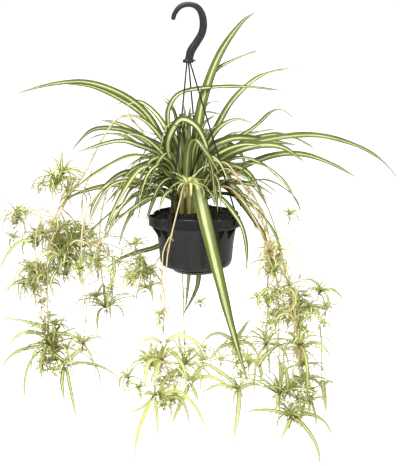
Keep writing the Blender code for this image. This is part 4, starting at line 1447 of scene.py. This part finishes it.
@dataclass
class PottingMix:
    """The mix that fills the pot: a lumpy mound, with chips and grit lying on it."""

    pot: Pot
    lump: float = 0.0050
    lump_size: float = 0.009
    slope: float = 0.009
    rings: int = 17
    ear_share: float = 0.85
    chips: int = 150
    steps: int = 120

    def build(self) -> None:
        """Makes the mix and fixes it in place."""
        low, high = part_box("potting_mix")
        inner = self.pot.radius - self.pot.wall - 0.0009
        level, floor = high.z, self.pot.floor_radius
        mound = [(0.004 * ring, level - self.slope * (ring / self.rings) ** 3)
                 for ring in range(1, self.rings)]
        side = [(inner - 0.0028, level - self.slope), (inner - 0.0055, level - 0.030),
                (inner - 0.010, level - 0.055), (floor + 0.002, low.z + 0.008), (floor - 0.004, low.z)]
        mix = lathed("mix_in_pot", self.pot.foot, [(0, level), *mound, *side, (0, low.z)], self.steps)
        x, y, z = places_of(mix).T
        loose = (z > level - 0.012) & (np.hypot(x - self.pot.foot.x, y) < inner - 0.004)
        self.pot.flared(mix, self.ear_share)
        group = mix.vertex_groups.new(name="top")
        group.add([int(i) for i in np.flatnonzero(loose)], 1, "REPLACE")
        lumps = bpy.data.textures.new("mix_lumps", "CLOUDS")
        lumps.noise_scale, lumps.noise_depth = self.lump_size, 3
        finish_with(mix, "DISPLACE", texture=lumps, texture_coords="LOCAL", strength=self.lump,
                    mid_level=0.62, vertex_group="top")
        smooth(mix, 60)
        ready(mix, Finish.MIX, "potting_mix")
        self.scatter(level)

    def scatter(self, level: float) -> None:
        """Lays chips of bark and grit on the mix.

        Args:
            level: The height of the mix at its middle.
        """
        rng = np.random.default_rng(12)
        deselect()
        bpy.ops.mesh.primitive_ico_sphere_add(subdivisions=1, radius=1)
        lump = named("mix_lump")
        for name, finish, count, sizes in (("bark_on_mix", Finish.BARK, self.chips, (0.0012, 0.0038)),
                                           ("grit_on_mix", Finish.GRIT, self.chips // 2, (0.0008, 0.0018))):
            bits = []
            for _ in range(count):
                bit = copied(lump, name)
                places = places_of(bit) * (1 + 0.35 * rng.standard_normal((12, 1)))
                turn, angle = rng.uniform(0, 2 * pi), rng.uniform(0, 2 * pi)
                spin = np.array(((cos(turn), -sin(turn), 0), (sin(turn), cos(turn), 0), (0, 0, 1)))
                size = rng.uniform(*sizes)
                reach = (self.pot.radius - 0.008) * rng.uniform(0.12, 1) ** 0.5
                middle = (self.pot.foot.x + reach * cos(angle), reach * sin(angle),
                          level - 0.0012 - 0.007 * (reach / 0.07) ** 3 + rng.uniform(-0.0008, 0.0012))
                set_places(bit, places * (size, size * 0.6, size * 0.35) @ spin.T + middle)
                bits.append(bit)
            ready(joined(name, bits), finish)
        bpy.data.objects.remove(lump)


@dataclass
class Hanger:
    """The hook, the collar under it and the three strands that carry the pot."""

    pot: Pot
    stalk: StalkForm
    centreline: tuple = (
        (-0.0260, -0.0217), (-0.0222, -0.0100), (-0.0130, 0.0008), (0.0010, 0.0045), (0.0145, 0.0005),
        (0.0228, -0.0110), (0.0257, -0.0280), (0.0228, -0.0440), (0.0140, -0.0590), (0.0050, -0.0730),
        (0.0010, -0.0880))
    radii: tuple = (0.0037, 0.0041, 0.0044, 0.0045, 0.0053, 0.0062, 0.0065, 0.0065, 0.0067, 0.0072, 0.0070)
    tip: float = 0.022
    collar_top: float = -0.087
    collar_height: float = 0.006
    collar_radius: float = 0.0095
    collar_round: float = 0.0012
    nub: tuple = (0.0052, 0.004, 0.0030)
    strand_radius: float = 0.0014
    strand_circle: float = 0.004
    strands: tuple = (("left", 236, 0.002), ("right", 321, 0.0), ("back", 84, 0.0))
    strap_width: float = 0.008
    strap_thickness: float = 0.0015
    strap_drop: float = 0.013
    strap_rise: float = 0.007
    strap_cuts: int = 30
    gap: float = 0.0003

    def build(self) -> None:
        """Makes the hook and the strands, and fixes them in place."""
        self.build_hook()
        for name, azimuth, bow in self.strands:
            self.build_strand(name, azimuth, bow)

    def build_hook(self) -> None:
        """Makes the hook: a thick bar bent over, round at its tip, on its collar."""
        course = Course([(x, 0, z) for x, z in self.centreline])
        shares = np.linspace(0, 1, len(self.radii))

        def radius(share: np.ndarray) -> np.ndarray:
            """Returns the bar's radii, closing in a round tip."""
            tip = np.sqrt(np.clip(1 - (1 - np.minimum(share / self.tip, 1)) ** 2, 0.02, 1))
            return np.interp(share, shares, self.radii) * tip

        bar = self.stalk.bent("hook_bar", course, radius)
        top, foot = self.collar_top, self.collar_top - self.collar_height
        out, edge = self.collar_radius, self.collar_round
        outline = [(0, top + 0.0006), (out - 2 * edge, top + 0.0004), (out - 0.6 * edge, top - 0.4 * edge),
                   (out, top - 1.6 * edge), (out, foot + 1.2 * edge), (out - 0.5 * edge, foot + 0.3 * edge),
                   (out - 1.5 * edge, foot), (0, foot)]
        collar = lathed("hook_collar", Vector((0, 0, 0)), outline, 64)
        deselect()
        bpy.ops.mesh.primitive_cube_add(size=1)
        nub = named("collar_nub")
        set_places(nub, places_of(nub) * self.nub + (out + 0.0006, 0, foot + 0.0042))
        finish_with(nub, "BEVEL", width=0.0008, segments=2)
        for piece in (collar, nub):
            smooth(piece, 45)
        ready(joined("hook_and_collar", [bar, collar, nub]), Finish.HOOK, "hanger_hook")

    def rim_point(self, azimuth: float, out: float, height: float) -> np.ndarray:
        """Finds a point beside the pot's rim.

        Args:
            azimuth: Where it is, in degrees.
            out: How far it stands out from the round part of the rim.
            height: Its height.

        Returns:
            The point.
        """
        radius, angle = self.pot.radius + out, radians(azimuth)
        return np.array((self.pot.foot.x + radius * cos(angle), radius * sin(angle), height))

    def build_strand(self, name: str, azimuth: float, bow: float) -> None:
        """Makes a strand with the flat strap that hooks over the rim.

        Args:
            name: Which strand it is.
            azimuth: Where it meets the rim, in degrees.
            bow: How far its middle stands in.
        """
        angle = radians(azimuth)
        outward = np.array((cos(angle), sin(angle), 0))
        top, half = self.pot.top, self.strap_thickness / 2
        ear = float(self.pot.reach_out(azimuth, top))
        start = self.strand_circle * outward + (self.collar_top - self.collar_height + 0.001) * UP
        end = self.rim_point(azimuth, ear + self.gap + half, top) + self.strap_rise * UP / 2
        middle = start + (end - start) * 0.4 - outward * bow
        cord = self.stalk.bent("cord_" + name, Course((start, middle, end)),
                               lambda share: np.full_like(share, self.strand_radius))
        inner = ear - 2 * self.pot.wall - 4 * self.gap - half
        heights = [top - self.strap_drop * share for share in (1, 0.85, 0.7, 0.55, 0.4, 0.25, 0.12, 0.03)]
        outer = [(self.gap + 0.0005 + half + float(self.pot.reach_out(azimuth, z)), z) for z in heights]
        edge = outer[-1][0]
        bridge = [(edge + 0.0001, top + 0.0002), (edge - 0.0004, top + 0.0014), (ear - 0.0002, top + 0.0019),
                  (inner + 0.0008, top + 0.0016), (inner, top + 0.0006), (inner, top - 0.005)]
        riser = [(edge, top - 0.004), (edge, top + self.strap_rise)]
        bars = [cord]
        for line in (outer + bridge, riser):
            flat = Course([self.rim_point(azimuth, out, z) for out, z in line], 6)
            bars.append(self.flat_bar(flat, np.cross(outward, UP)))
        ready(joined("strand_" + name, bars), Finish.BLACK, "hanger_strand_" + name)

    def flat_bar(self, course: Course, side: np.ndarray) -> bpy.types.Object:
        """Models a flat bar with round edges, bent along a course.

        Args:
            course: Its centreline.
            side: The direction of its width.

        Returns:
            The bar.
        """
        deselect()
        bpy.ops.mesh.primitive_cube_add(size=1)
        bar = named("strap")
        with editing(bar):
            bpy.ops.mesh.select_all(action="SELECT")
            bpy.ops.transform.resize(value=(self.strap_width, self.strap_thickness, 1),
                                     center_override=(0, 0, 0))
        finish_with(bar, "BEVEL", width=0.0004, segments=2, limit_method="NONE", affect="EDGES")
        with editing(bar):
            bpy.ops.mesh.select_all(action="DESELECT")
        places = places_of(bar)
        for edge in bar.data.edges:
            a, b = (places[at] for at in edge.vertices)
            edge.select = bool(abs(a[2] - b[2]) > 0.9)
        with editing(bar):
            bpy.ops.mesh.select_mode(type="EDGE")
            bpy.ops.mesh.subdivide(number_cuts=self.strap_cuts)
        x, y, z = places_of(bar).T
        share = np.clip(z + 0.5, 0, 1)
        heading = course.heading(share)
        face = np.cross(heading, side)
        set_places(bar, course.at(share) + side * x[:, None] + face * y[:, None])
        smooth(bar, 45)
        return bar


# The plant.


@dataclass
class Crown:
    """The bundle of clasping leaf bases that stands on the mix, with dry scraps round its foot."""

    blade: BladeForm
    layers: tuple = ((13, 0.0265, 0.050), (11, 0.0205, 0.058), (8, 0.0140, 0.068))
    sheath_width: float = 0.0150
    layer_radius: float = 0.03
    scraps: int = 9

    def build(self) -> None:
        """Makes the bundle and fixes it in place."""
        foot, height, radius = upright_box("crown")
        rng = np.random.default_rng(4)
        blades = [self.heart(foot, height, radius)]
        number = 0
        for count, reach, tall in self.layers:
            for _ in range(count):
                azimuth = GOLDEN_ANGLE * number
                blades.append(self.sheath(foot, azimuth, reach * radius / self.layer_radius,
                                          tall * rng.uniform(0.72, 1.02),
                                          self.sheath_width * rng.uniform(0.75, 1.1), rng.uniform(0, 1)))
                number += 1
        for _ in range(self.scraps):
            azimuth = rng.uniform(0, 2 * pi)
            blades.append(self.sheath(foot, azimuth, radius * rng.uniform(0.85, 1.0),
                                      rng.uniform(0.014, 0.030), rng.uniform(0.008, 0.014),
                                      rng.uniform(0.6, 1), lean=0.35))
        gathered("crown_of_leaf_bases", blades, Finish.SHEATH, "crown")

    def heart(self, foot: Vector, height: float, radius: float) -> bpy.types.Object:
        """Models the fluted core that the sheaths wrap.

        Args:
            foot: The middle of its foot.
            height: Its height.
            radius: The bundle's radius.

        Returns:
            The core.
        """
        shares = np.linspace(0, 1, 12)
        outline = [(radius * (0.74 - 0.30 * share), foot.z + height * share) for share in shares]
        heart = lathed("crown_heart", foot, [*outline, (0, foot.z + height)], 72)
        x, y, z = places_of(heart).T
        angle = np.arctan2(y, x)
        flute = 1 + 0.05 * np.sin(9 * angle + 30 * z) + 0.02 * np.sin(23 * angle)
        set_places(heart, np.stack([x * flute, y * flute, z], 1))
        for key, values in (("across", 0.97 + 0.03 * np.sin(9 * angle)), ("share", 0.2),
                            ("reach", z - foot.z), ("tone", 0.4), ("stripe", 0.4)):
            note(heart, key, values)
        note(heart, "under", 0.0, "FACE")
        smooth(heart, 60)
        heart.data.uv_layers.new(name=BAKE_MAP)
        return heart

    def sheath(self, foot: Vector, azimuth: float, reach: float, tall: float, width: float, tone: float,
               lean: float = 0.0) -> bpy.types.Object:
        """Bends one leaf base, wrapped round the bundle.

        Args:
            foot: The middle of the bundle's foot.
            azimuth: Where it stands, in radians.
            reach: How far from the bundle's middle its foot is.
            tall: Its height.
            width: Its width, laid flat.
            tone: Its colour's number.
            lean: How far its tip falls outwards, as a share of its height.

        Returns:
            The leaf base.
        """
        out = np.array((cos(azimuth), sin(azimuth), 0))
        base = np.array(foot) + reach * out
        points = [base - 0.004 * UP, base + out * 0.0015 + UP * tall * 0.3,
                  base + out * (lean * tall * 0.4 - 0.002) + UP * tall * 0.65,
                  base + out * (lean * tall - 0.005) + UP * tall]
        cut = Cut(width, fold=0.30, thickness=0.0010, narrow_base=1.0, taper=5)
        piece = self.blade.bent("sheath", Course(points), cut, lambda share, heading: -out + 0 * heading,
                                tone, 0.3)
        places = places_of(piece)
        side = np.array((-sin(azimuth), cos(azimuth), 0))
        off = (places - np.array(foot)) @ side
        depth = (places - np.array(foot)) @ out
        turn = np.clip(off / max(reach, 0.011), -2.4, 2.4)
        wrapped = np.outer(depth * np.cos(turn), out) + np.outer(depth * np.sin(turn), side)
        wrapped[:, 2] = places[:, 2]
        wrapped[:, :2] += np.array(foot)[:2]
        set_places(piece, wrapped)
        return piece


def bent_freely(blade: BladeForm, row: FreeLeaf, cut: Cut, rng: np.random.Generator,
                stripe: tuple = (0.15, 0.45)) -> bpy.types.Object:
    """Bends a blade along a row's own points, with its upper side up and to the front.

    Args:
        blade: The form that it is bent from.
        row: Its points and depths.
        cut: Its sizes.
        rng: Draws the small differences between leaves.
        stripe: The narrowest and the widest stripe, as shares of half its width.

    Returns:
        The bent blade.
    """
    depths = np.linspace(row.near, row.far, len(row.points))
    course = Course([(point[0], point[1] if len(point) > 2 else depth, point[-1])
                     for point, depth in zip(row.points, depths)], 6)
    front = rng.uniform(0.5, 1.0)
    upper = UP * 0.6 + FRONT * front
    # A row's pale lifts the tone to a yellower green; on the two leaves in the pot's shade it is also a
    # painted light.
    return blade.bent("free_leaf", course, cut, lambda share, heading: upper + 0 * heading,
                      min(1, 0.6 * row.pale + rng.uniform(0, 0.4)), rng.uniform(*stripe))


@dataclass
class Foliage:
    """The long striped leaves."""

    blade: BladeForm
    channel: float = 0.50
    narrow: float = 0.93
    groups: int = 5
    young_leaves: int = 10
    inner_leaves: int = 44
    ripple: float = 0.0005
    clear_front: float = 34

    def build(self) -> None:
        """Makes every leaf: the ones that stand for solids one by one, and the rest in groups."""
        rng = np.random.default_rng(31)
        for leaf in LEAVES:
            ready(self.lay(leaf, rng), Finish.LEAF, leaf.name)
        for name, rows in MORE_LEAVES.items():
            gathered(name, [self.lay(leaf, rng) for leaf in rows], Finish.LEAF)
        inner = [*self.young(rng), *self.inner(rng), *(self.free(row, rng) for row in FREE_LEAVES)]
        for number in range(self.groups):
            gathered(f"leaves_inner_{number + 1}", inner[number::self.groups], Finish.LEAF)

    def lay(self, leaf: Leaf, rng: np.random.Generator) -> bpy.types.Object:
        """Bends a leaf along its arc.

        Args:
            leaf: Its row.
            rng: Draws the small differences between leaves.

        Returns:
            The leaf.
        """
        flat = Course([(reach, 0, height) for reach, height in leaf.arc]).line
        gone = np.concatenate([[0], np.cumsum(np.linalg.norm(np.diff(flat, axis=0), axis=1))])
        angle = np.radians(leaf.azimuth + leaf.swing * (gone / gone[-1]) ** 1.5)
        reach, height = flat[:, 0], flat[:, 2]
        course = Course(np.stack([reach * np.cos(angle), reach * np.sin(angle), height], 1), 1)
        lean = 0.15 + 0.45 * abs(cos(radians(leaf.azimuth))) + rng.uniform(-0.12, 0.12)
        if sin(radians(leaf.azimuth)) < -0.35:
            lean *= 0.3
        if leaf.lean is not None:
            lean = leaf.lean

        def facing(share: np.ndarray, heading: np.ndarray) -> np.ndarray:
            """Turns the upper side from the sky to the light, towards the tip.

            Args:
                share: Shares of the leaf's length.
                heading: The leaf's way at them.

            Returns:
                Where the upper side looks.
            """
            turn = np.radians(leaf.azimuth + leaf.swing * share ** 1.5)
            across = np.stack([np.sin(turn), -np.cos(turn), 0 * turn], 1)
            toward = (lean * ramp_up(share / 0.3))[:, None]
            return np.cross(across, heading) * (1 - toward) + FRONT * toward

        cut = Cut(leaf.width * self.narrow, self.channel, narrow_base=leaf.base, ripple=self.ripple,
                  twist=rng.uniform(-25, 25))
        return self.blade.bent(leaf.name + "_blade", course, cut, facing, rng.uniform(0, 1),
                               rng.uniform(0.12, 0.38))

    def free(self, row: FreeLeaf, rng: np.random.Generator) -> bpy.types.Object:
        """Bends a leaf along its own points.

        Args:
            row: Its row.
            rng: Draws the small differences between leaves.

        Returns:
            The leaf.
        """
        cut = Cut(row.width, self.channel, narrow_base=row.base, ripple=self.ripple,
                  twist=rng.uniform(-15, 15))
        return bent_freely(self.blade, row, cut, rng)

    def young(self, rng: np.random.Generator) -> list[bpy.types.Object]:
        """Bends the young upright leaves in the middle of the plant.

        Args:
            rng: Draws their sizes.

        Returns:
            The leaves.
        """
        leaves = []
        for number in range(self.young_leaves):
            azimuth = np.degrees(GOLDEN_ANGLE) * number
            tall, out = rng.uniform(0.095, 0.165), rng.uniform(0.015, 0.055)
            arc = ((0.008, -0.315), (0.010 + out * 0.12, -0.31 + tall * 0.45),
                   (0.010 + out * 0.45, -0.31 + tall * 0.85), (0.012 + out, -0.31 + tall))
            leaves.append(self.lay(Leaf("young", azimuth, rng.uniform(0.009, 0.013), arc), rng))
        return leaves

    def inner(self, rng: np.random.Generator) -> list[bpy.types.Object]:
        """Bends the shorter arching leaves that fill the plant between the long ones.

        Args:
            rng: Draws their sizes.

        Returns:
            The leaves.
        """
        leaves = []
        for number in range(self.inner_leaves):
            azimuth = np.degrees(GOLDEN_ANGLE) * (number + 0.4) % 360
            off = azimuth - 270
            azimuth += (self.clear_front - abs(off)) * np.sign(off) * (abs(off) < self.clear_front) * 0.9
            reach, peak = rng.uniform(0.085, 0.175), rng.uniform(-0.305, -0.235)
            drop = rng.uniform(0.02, 0.085)
            arc = ((0.014, -0.335), (0.22 * reach + 0.006, (peak - 0.335) / 2 + 0.012), (0.48 * reach, peak),
                   (0.76 * reach, peak - 0.2 * drop), (reach, peak - drop))
            width, swing = rng.uniform(0.009, 0.014), rng.uniform(-12, 12)
            leaves.append(self.lay(Leaf("inner", azimuth, width, arc, swing), rng))
        return leaves


@dataclass
class RunnerStems:
    """The runners: round straw stems with swollen joints and papery bracts."""

    stalk: StalkForm
    blade: BladeForm
    radius: float = 0.0017
    joints: int = 6
    bracts: int = 3
    bract: Cut = Cut(0.0036, 0.6, 0.0004, 0.9)
    short: float = 0.15
    swelling: float = 0.002
    scraps: list[bpy.types.Object] = field(default_factory=list)

    def build(self) -> dict[str, Course]:
        """Makes every runner and fixes it in place.

        Returns:
            The runners' courses by name.
        """
        courses = {}
        rng = np.random.default_rng(8)
        for runner in RUNNERS:
            course = courses[runner.name] = Course(runner.points)
            gathered(runner.name + "_stem", [self.stem(runner, course, rng)], Finish.STRAW, runner.name)
        for name, rows in MORE_RUNNERS.items():
            pieces = []
            for runner in rows:
                course = courses[runner.name] = Course(runner.points)
                pieces.append(self.stem(runner, course, rng))
            gathered(name, pieces, Finish.STRAW)
        gathered("stem_bracts", self.scraps, Finish.PAPER)
        return courses

    def stem(self, runner: Runner, course: Course, rng: np.random.Generator) -> bpy.types.Object:
        """Bends a stem, and keeps the bracts at its joints for later.

        Args:
            runner: Its row.
            course: Its centreline.
            rng: Draws its joints and bracts.

        Returns:
            The stem.
        """
        joints = np.sort(rng.uniform(0.2, 0.95, self.joints if course.length > self.short else 2))

        def radius(share: np.ndarray) -> np.ndarray:
            """Swells the stem at its joints.

            Args:
                share: Shares of the stem's length.

            Returns:
                The stem's radii.
            """
            swell = sum(0.5 * np.exp(-((share - joint) * course.length / self.swelling) ** 2)
                        for joint in joints)
            return self.radius * runner.thickness * (1.1 - 0.45 * share + swell)

        for joint in joints:
            heading, place = course.heading(joint), course.at(joint)
            for _ in range(self.bracts):
                out = unit(np.cross(heading, rng.standard_normal(3)))
                length = rng.uniform(0.005, 0.016)
                bract = Course((place - heading * 0.001, place + heading * length * 0.4 + out * length * 0.14,
                                place + heading * length * 0.8 + out * length * 0.5))
                self.scraps.append(self.blade.bent("bract", bract, self.bract, lambda share, way, out=out:
                                                   -out + 0 * way, rng.uniform(0, 1), 0.3))
        return self.stalk.bent("stem", course, radius, runner.tone)


@dataclass
class Plantlets:
    """The young plants on the runners: tufts of narrow arching leaves round a pale core."""

    leaf: BladeForm
    stalk: StalkForm
    courses: dict[str, Course]
    core: float = 0.0048
    runner_radius: float = 0.0014
    gap: float = 0.0003
    side_radius: float = 0.00075
    husk: Cut = Cut(0.0038, 0.5, 0.0005, 0.9)
    husk_count: int = 3
    root_radius: float = 0.0008
    root_count: int = 4
    rooted: float = 0.042
    extra_leaves: tuple = (11, 8)
    stems: list[bpy.types.Object] = field(default_factory=list)
    husks: list[bpy.types.Object] = field(default_factory=list)
    roots: list[bpy.types.Object] = field(default_factory=list)

    def build(self) -> None:
        """Makes every plantlet and fixes it in place."""
        rng = np.random.default_rng(77)
        for_solids, for_tufts = self.extra_leaves
        for plantlet in PLANTLETS:
            leaves = self.tuft(self.centre(plantlet), plantlet.spread, plantlet.leaves + for_solids, rng,
                               plantlet.pale)
            gathered(plantlet.name + "_tuft", leaves, Finish.PLANTLET, plantlet.name)
        for row in TUFTS:
            centre = np.array(row.centre)
            leaves = self.tuft(centre, row.spread, row.leaves + for_tufts, rng, row.pale)
            gathered(row.name + "_tuft", leaves, Finish.PLANTLET)
            self.reach_from_runner(centre, rng)
        for cluster in CLUSTERS:
            gathered(cluster.name + "_tuft", self.spread_out(cluster, rng), Finish.PLANTLET)
        for name, rows in LONG_LEAFLETS.items():
            gathered(name + "_tuft", [self.long_leaflet(row, rng) for row in rows], Finish.PLANTLET)
        gathered("side_stems", self.stems, Finish.STRAW)
        gathered("plantlet_roots", self.roots, Finish.ROOT)
        gathered("plantlet_husks", self.husks, Finish.PAPER)

    def spread_out(self, cluster: Cluster, rng: np.random.Generator) -> list[bpy.types.Object]:
        """Grows the small tufts of a cluster, each with its side stem.

        Args:
            cluster: Its row.
            rng: Draws the tufts' places and sizes.

        Returns:
            The tufts' leaves.
        """
        leaves = []
        for _ in range(cluster.count):
            way = rng.standard_normal(3)
            away = np.array(cluster.radii) * way / np.linalg.norm(way) * rng.uniform(0.2, 1)
            centre = np.array(cluster.centre) + away
            spread, count = rng.uniform(0.022, 0.050), int(rng.integers(11, 18))
            leaves += self.tuft(centre, spread, count, rng, cluster.pale + rng.uniform(-0.3, 0.3))
            self.reach_from_runner(centre, rng)
        return leaves

    def long_leaflet(self, row: FreeLeaf, rng: np.random.Generator) -> bpy.types.Object:
        """Bends one of the longer leaflets along its own points.

        Args:
            row: Its row.
            rng: Draws the small differences between leaflets.

        Returns:
            The leaflet.
        """
        cut = Cut(row.width, 0.55, 0.0006, 0.8, 2.2, 0, rng.uniform(-25, 25))
        return bent_freely(self.leaf, row, cut, rng, (0.2, 0.6))

    def centre(self, plantlet: Plantlet) -> np.ndarray:
        """Finds the middle of a plantlet's core.

        Args:
            plantlet: Its row.

        Returns:
            The middle, on its runner's end or beside the runner.
        """
        runner = next(row for row in RUNNERS if row.name == plantlet.runner)
        course = self.courses[plantlet.runner]
        heading, place = course.heading(plantlet.along), course.at(plantlet.along)
        if plantlet.along >= 1:
            return place + heading * (self.core * 0.8 + self.gap)
        side = np.array(plantlet.side, float)
        side = unit(side - side @ heading * heading)
        thick = self.runner_radius * runner.thickness * (1.15 - 0.4 * plantlet.along)
        return place + side * (self.core * 0.8 + thick + self.gap)

    def reach_from_runner(self, centre: np.ndarray, rng: np.random.Generator) -> None:
        """Draws a thin side stem from the nearest runner, a little higher up, to a tuft.

        Args:
            centre: The middle of the tuft's core.
            rng: Draws how it bends.
        """
        shares = np.linspace(0.35, 1, 60)
        spots = np.vstack([course.at(shares) for course in self.courses.values()])
        away = np.linalg.norm(spots - centre - (0, 0, 0.02), axis=1)
        away += 0.6 * np.maximum(0, centre[2] - spots[:, 2])
        start = spots[int(np.argmin(away))]
        bend = rng.uniform(-1, 1, 3) * 0.12 * np.linalg.norm(centre - start)
        middle = (start + centre) / 2 + bend + (0, 0, 0.15 * np.linalg.norm((centre - start)[:2]))
        stem = self.stalk.bent("side_stem", Course((start, middle, centre), 6),
                               lambda share: self.side_radius * (1.25 - 0.4 * share), rng.uniform(0, 1))
        self.stems.append(stem)

    def tuft(self, centre: np.ndarray, spread: float, count: int, rng: np.random.Generator,
             pale: float) -> list[bpy.types.Object]:
        """Grows a tuft, and keeps its husks and roots for later.

        Args:
            centre: The middle of its core.
            spread: How far its longest leaves reach.
            count: How many leaves it has.
            rng: Draws the differences between its leaves.
            pale: How yellow it is, from 0 to 1.

        Returns:
            Its leaves.
        """
        start, mood = rng.uniform(0, 2 * pi), float(np.clip(pale, 0, 1))
        leaves = []
        for number in range(count):
            azimuth = start + GOLDEN_ANGLE * number
            age = number / max(count - 1, 1)
            rise = radians(78 - 60 * age + rng.uniform(-30, 24))
            fall = radians(rng.uniform(30, 130) + 40 * age)
            length = spread * (0.60 + 0.55 * age) * rng.uniform(0.55, 1.2)
            swirl = rng.uniform(-1.0, 1.0)
            out = np.array((cos(azimuth), sin(azimuth), 0.3))
            course = Course.arching(centre + out * self.core * 0.35, azimuth, rise, fall, swirl, length)
            width = min(0.0026 + 0.034 * length, 0.0062) * rng.uniform(0.75, 1.3)

            def facing(share: np.ndarray, heading: np.ndarray, azimuth: float = azimuth,
                       swirl: float = swirl) -> np.ndarray:
                """Returns where the upper side looks."""
                way = azimuth + swirl * share
                return np.cross(np.stack([np.sin(way), -np.cos(way), 0 * way], 1), heading)

            cut = Cut(width, 0.6, 0.0006, 0.7, 2.2, 0, rng.uniform(-40, 40))
            leaves.append(self.leaf.bent("leaflet", course, cut, facing, 0.6 * mood + rng.uniform(0, 0.4),
                                         rng.uniform(0.15, 0.7)))
        low = centre - UP * self.core
        for number in range(self.husk_count):
            azimuth = start + number * 2 * pi / self.husk_count + rng.uniform(-0.4, 0.4)
            course = Course.arching(low, azimuth, radians(rng.uniform(-30, 60)),
                                    radians(rng.uniform(-20, 60)), 0, rng.uniform(0.005, 0.011))
            self.husks.append(self.leaf.bent("husk", course, self.husk, lambda share, way:
                                             np.broadcast_to(UP, way.shape), rng.uniform(0, 1), 0.3))
        for _ in range(self.root_count if spread > self.rooted else 1):
            course = Course.arching(low, rng.uniform(0, 2 * pi), radians(rng.uniform(-80, -20)),
                                    radians(rng.uniform(-20, 50)), rng.uniform(-1, 1),
                                    rng.uniform(0.006, 0.024))
            self.roots.append(self.stalk.bent("root", course, lambda share:
                                              self.root_radius * (1.15 - share ** 3), rng.uniform(0, 1)))
        return leaves


# The room round it.


@dataclass
class Studio:
    """A pale floor, soft lights and the camera."""

    floor_height: float = -1.15
    camera_place: tuple = (0.020, -1.913, -0.009)
    camera_aim: tuple = (0.020, 0.0, -0.388)
    lens: float = 86.0
    sky: float = 0.42
    seen_sky: float = 1.05
    floor_tints: tuple = ((0.90, 0.90, 0.90, 1), (0.94, 0.94, 0.94, 1))
    lights: tuple = (("key", (-0.9, -1.9, 1.7), (0, 0, -0.35), 62, 1.0),
                     ("fill", (2.2, -1.6, 0.6), (0, 0, -0.4), 16, 2.0),
                     ("top", (0.2, 0.6, 2.0), (0, 0, -0.4), 34, 1.2))

    def build(self) -> None:
        """Makes the floor, the lights, the sky and the camera."""
        self.add_floor()
        for light in self.lights:
            self.add_light(*light)
        self.add_sky()
        self.add_camera()
        bpy.context.scene.view_settings.view_transform = "Standard"

    def add_floor(self) -> None:
        """Adds the floor, which shines a little for the camera only, so that it looks near white."""
        deselect()
        bpy.ops.mesh.primitive_plane_add(size=60, location=(0, 0, self.floor_height))
        floor = named("floor")
        settle(floor)
        g = Graph("pale_floor")
        g.surface(Base_Color=g.blend(g.noise(g.place(), 3.0, 2), *self.floor_tints), Roughness=0.9,
                  Emission_Color=(1, 1, 1, 1), Emission_Strength=g.node("LightPath").outputs["Is Camera Ray"])
        floor.data.materials.append(g.material)

    def add_sky(self) -> None:
        """Adds the even light from all round, which the camera sees as white."""
        world = bpy.data.worlds.new("studio")
        world.use_nodes = True
        sky = world.node_tree.nodes["Background"]
        sky.inputs["Color"].default_value = (1, 1, 1, 1)
        path = world.node_tree.nodes.new("ShaderNodeLightPath")
        strength = world.node_tree.nodes.new("ShaderNodeMapRange")
        strength.inputs["To Min"].default_value = self.sky
        strength.inputs["To Max"].default_value = self.seen_sky
        world.node_tree.links.new(path.outputs["Is Camera Ray"], strength.inputs["Value"])
        world.node_tree.links.new(strength.outputs["Result"], sky.inputs["Strength"])
        bpy.context.scene.world = world

    def add_camera(self) -> None:
        """Adds the camera, a little above the pot and in front of it."""
        data = bpy.data.cameras.new("camera")
        data.lens = self.lens
        data.clip_end = 100
        camera = bpy.data.objects.new("camera", data)
        bpy.context.scene.collection.objects.link(camera)
        camera.location = self.camera_place
        way = Vector(self.camera_aim) - Vector(self.camera_place)
        camera.rotation_euler = way.to_track_quat("-Z", "Y").to_euler()
        bpy.context.scene.camera = camera

    def add_light(self, name: str, place: tuple, aim: tuple, watts: float, size: float) -> None:
        """Adds a soft square light.

        Args:
            name: The light's name.
            place: Where it stands.
            aim: The point that it faces.
            watts: Its power.
            size: The length of its sides.
        """
        data = bpy.data.lights.new(name, "AREA")
        data.energy, data.size = watts, size
        light = bpy.data.objects.new(name, data)
        bpy.context.scene.collection.objects.link(light)
        light.location = place
        light.rotation_euler = (Vector(aim) - Vector(place)).to_track_quat("-Z", "Y").to_euler()


def main() -> None:
    """Makes the whole plant round its frame, and the room that it is shown in."""
    Studio().build()
    leaf_form = BladeForm("leaf_form", 48, 6)
    leaflet_form = BladeForm("leaflet_form", 12, 2)
    bar_form = StalkForm("bar_form", 28, 100)
    stem_form = StalkForm("stem_form", 10, 90)
    twig_form = StalkForm("twig_form", 6, 8)
    pot = Pot()
    pot.build()
    PottingMix(pot).build()
    DripTray().build()
    Hanger(pot, bar_form).build()
    Crown(leaf_form).build()
    Foliage(leaf_form).build()
    courses = RunnerStems(stem_form, leaflet_form).build()
    Plantlets(leaflet_form, twig_form, courses).build()
    for form in (leaf_form, leaflet_form, bar_form, stem_form, twig_form):
        bpy.data.objects.remove(form.piece)


if __name__ == "__main__":
    logging.basicConfig(level=logging.INFO, format="%(message)s")
    main()
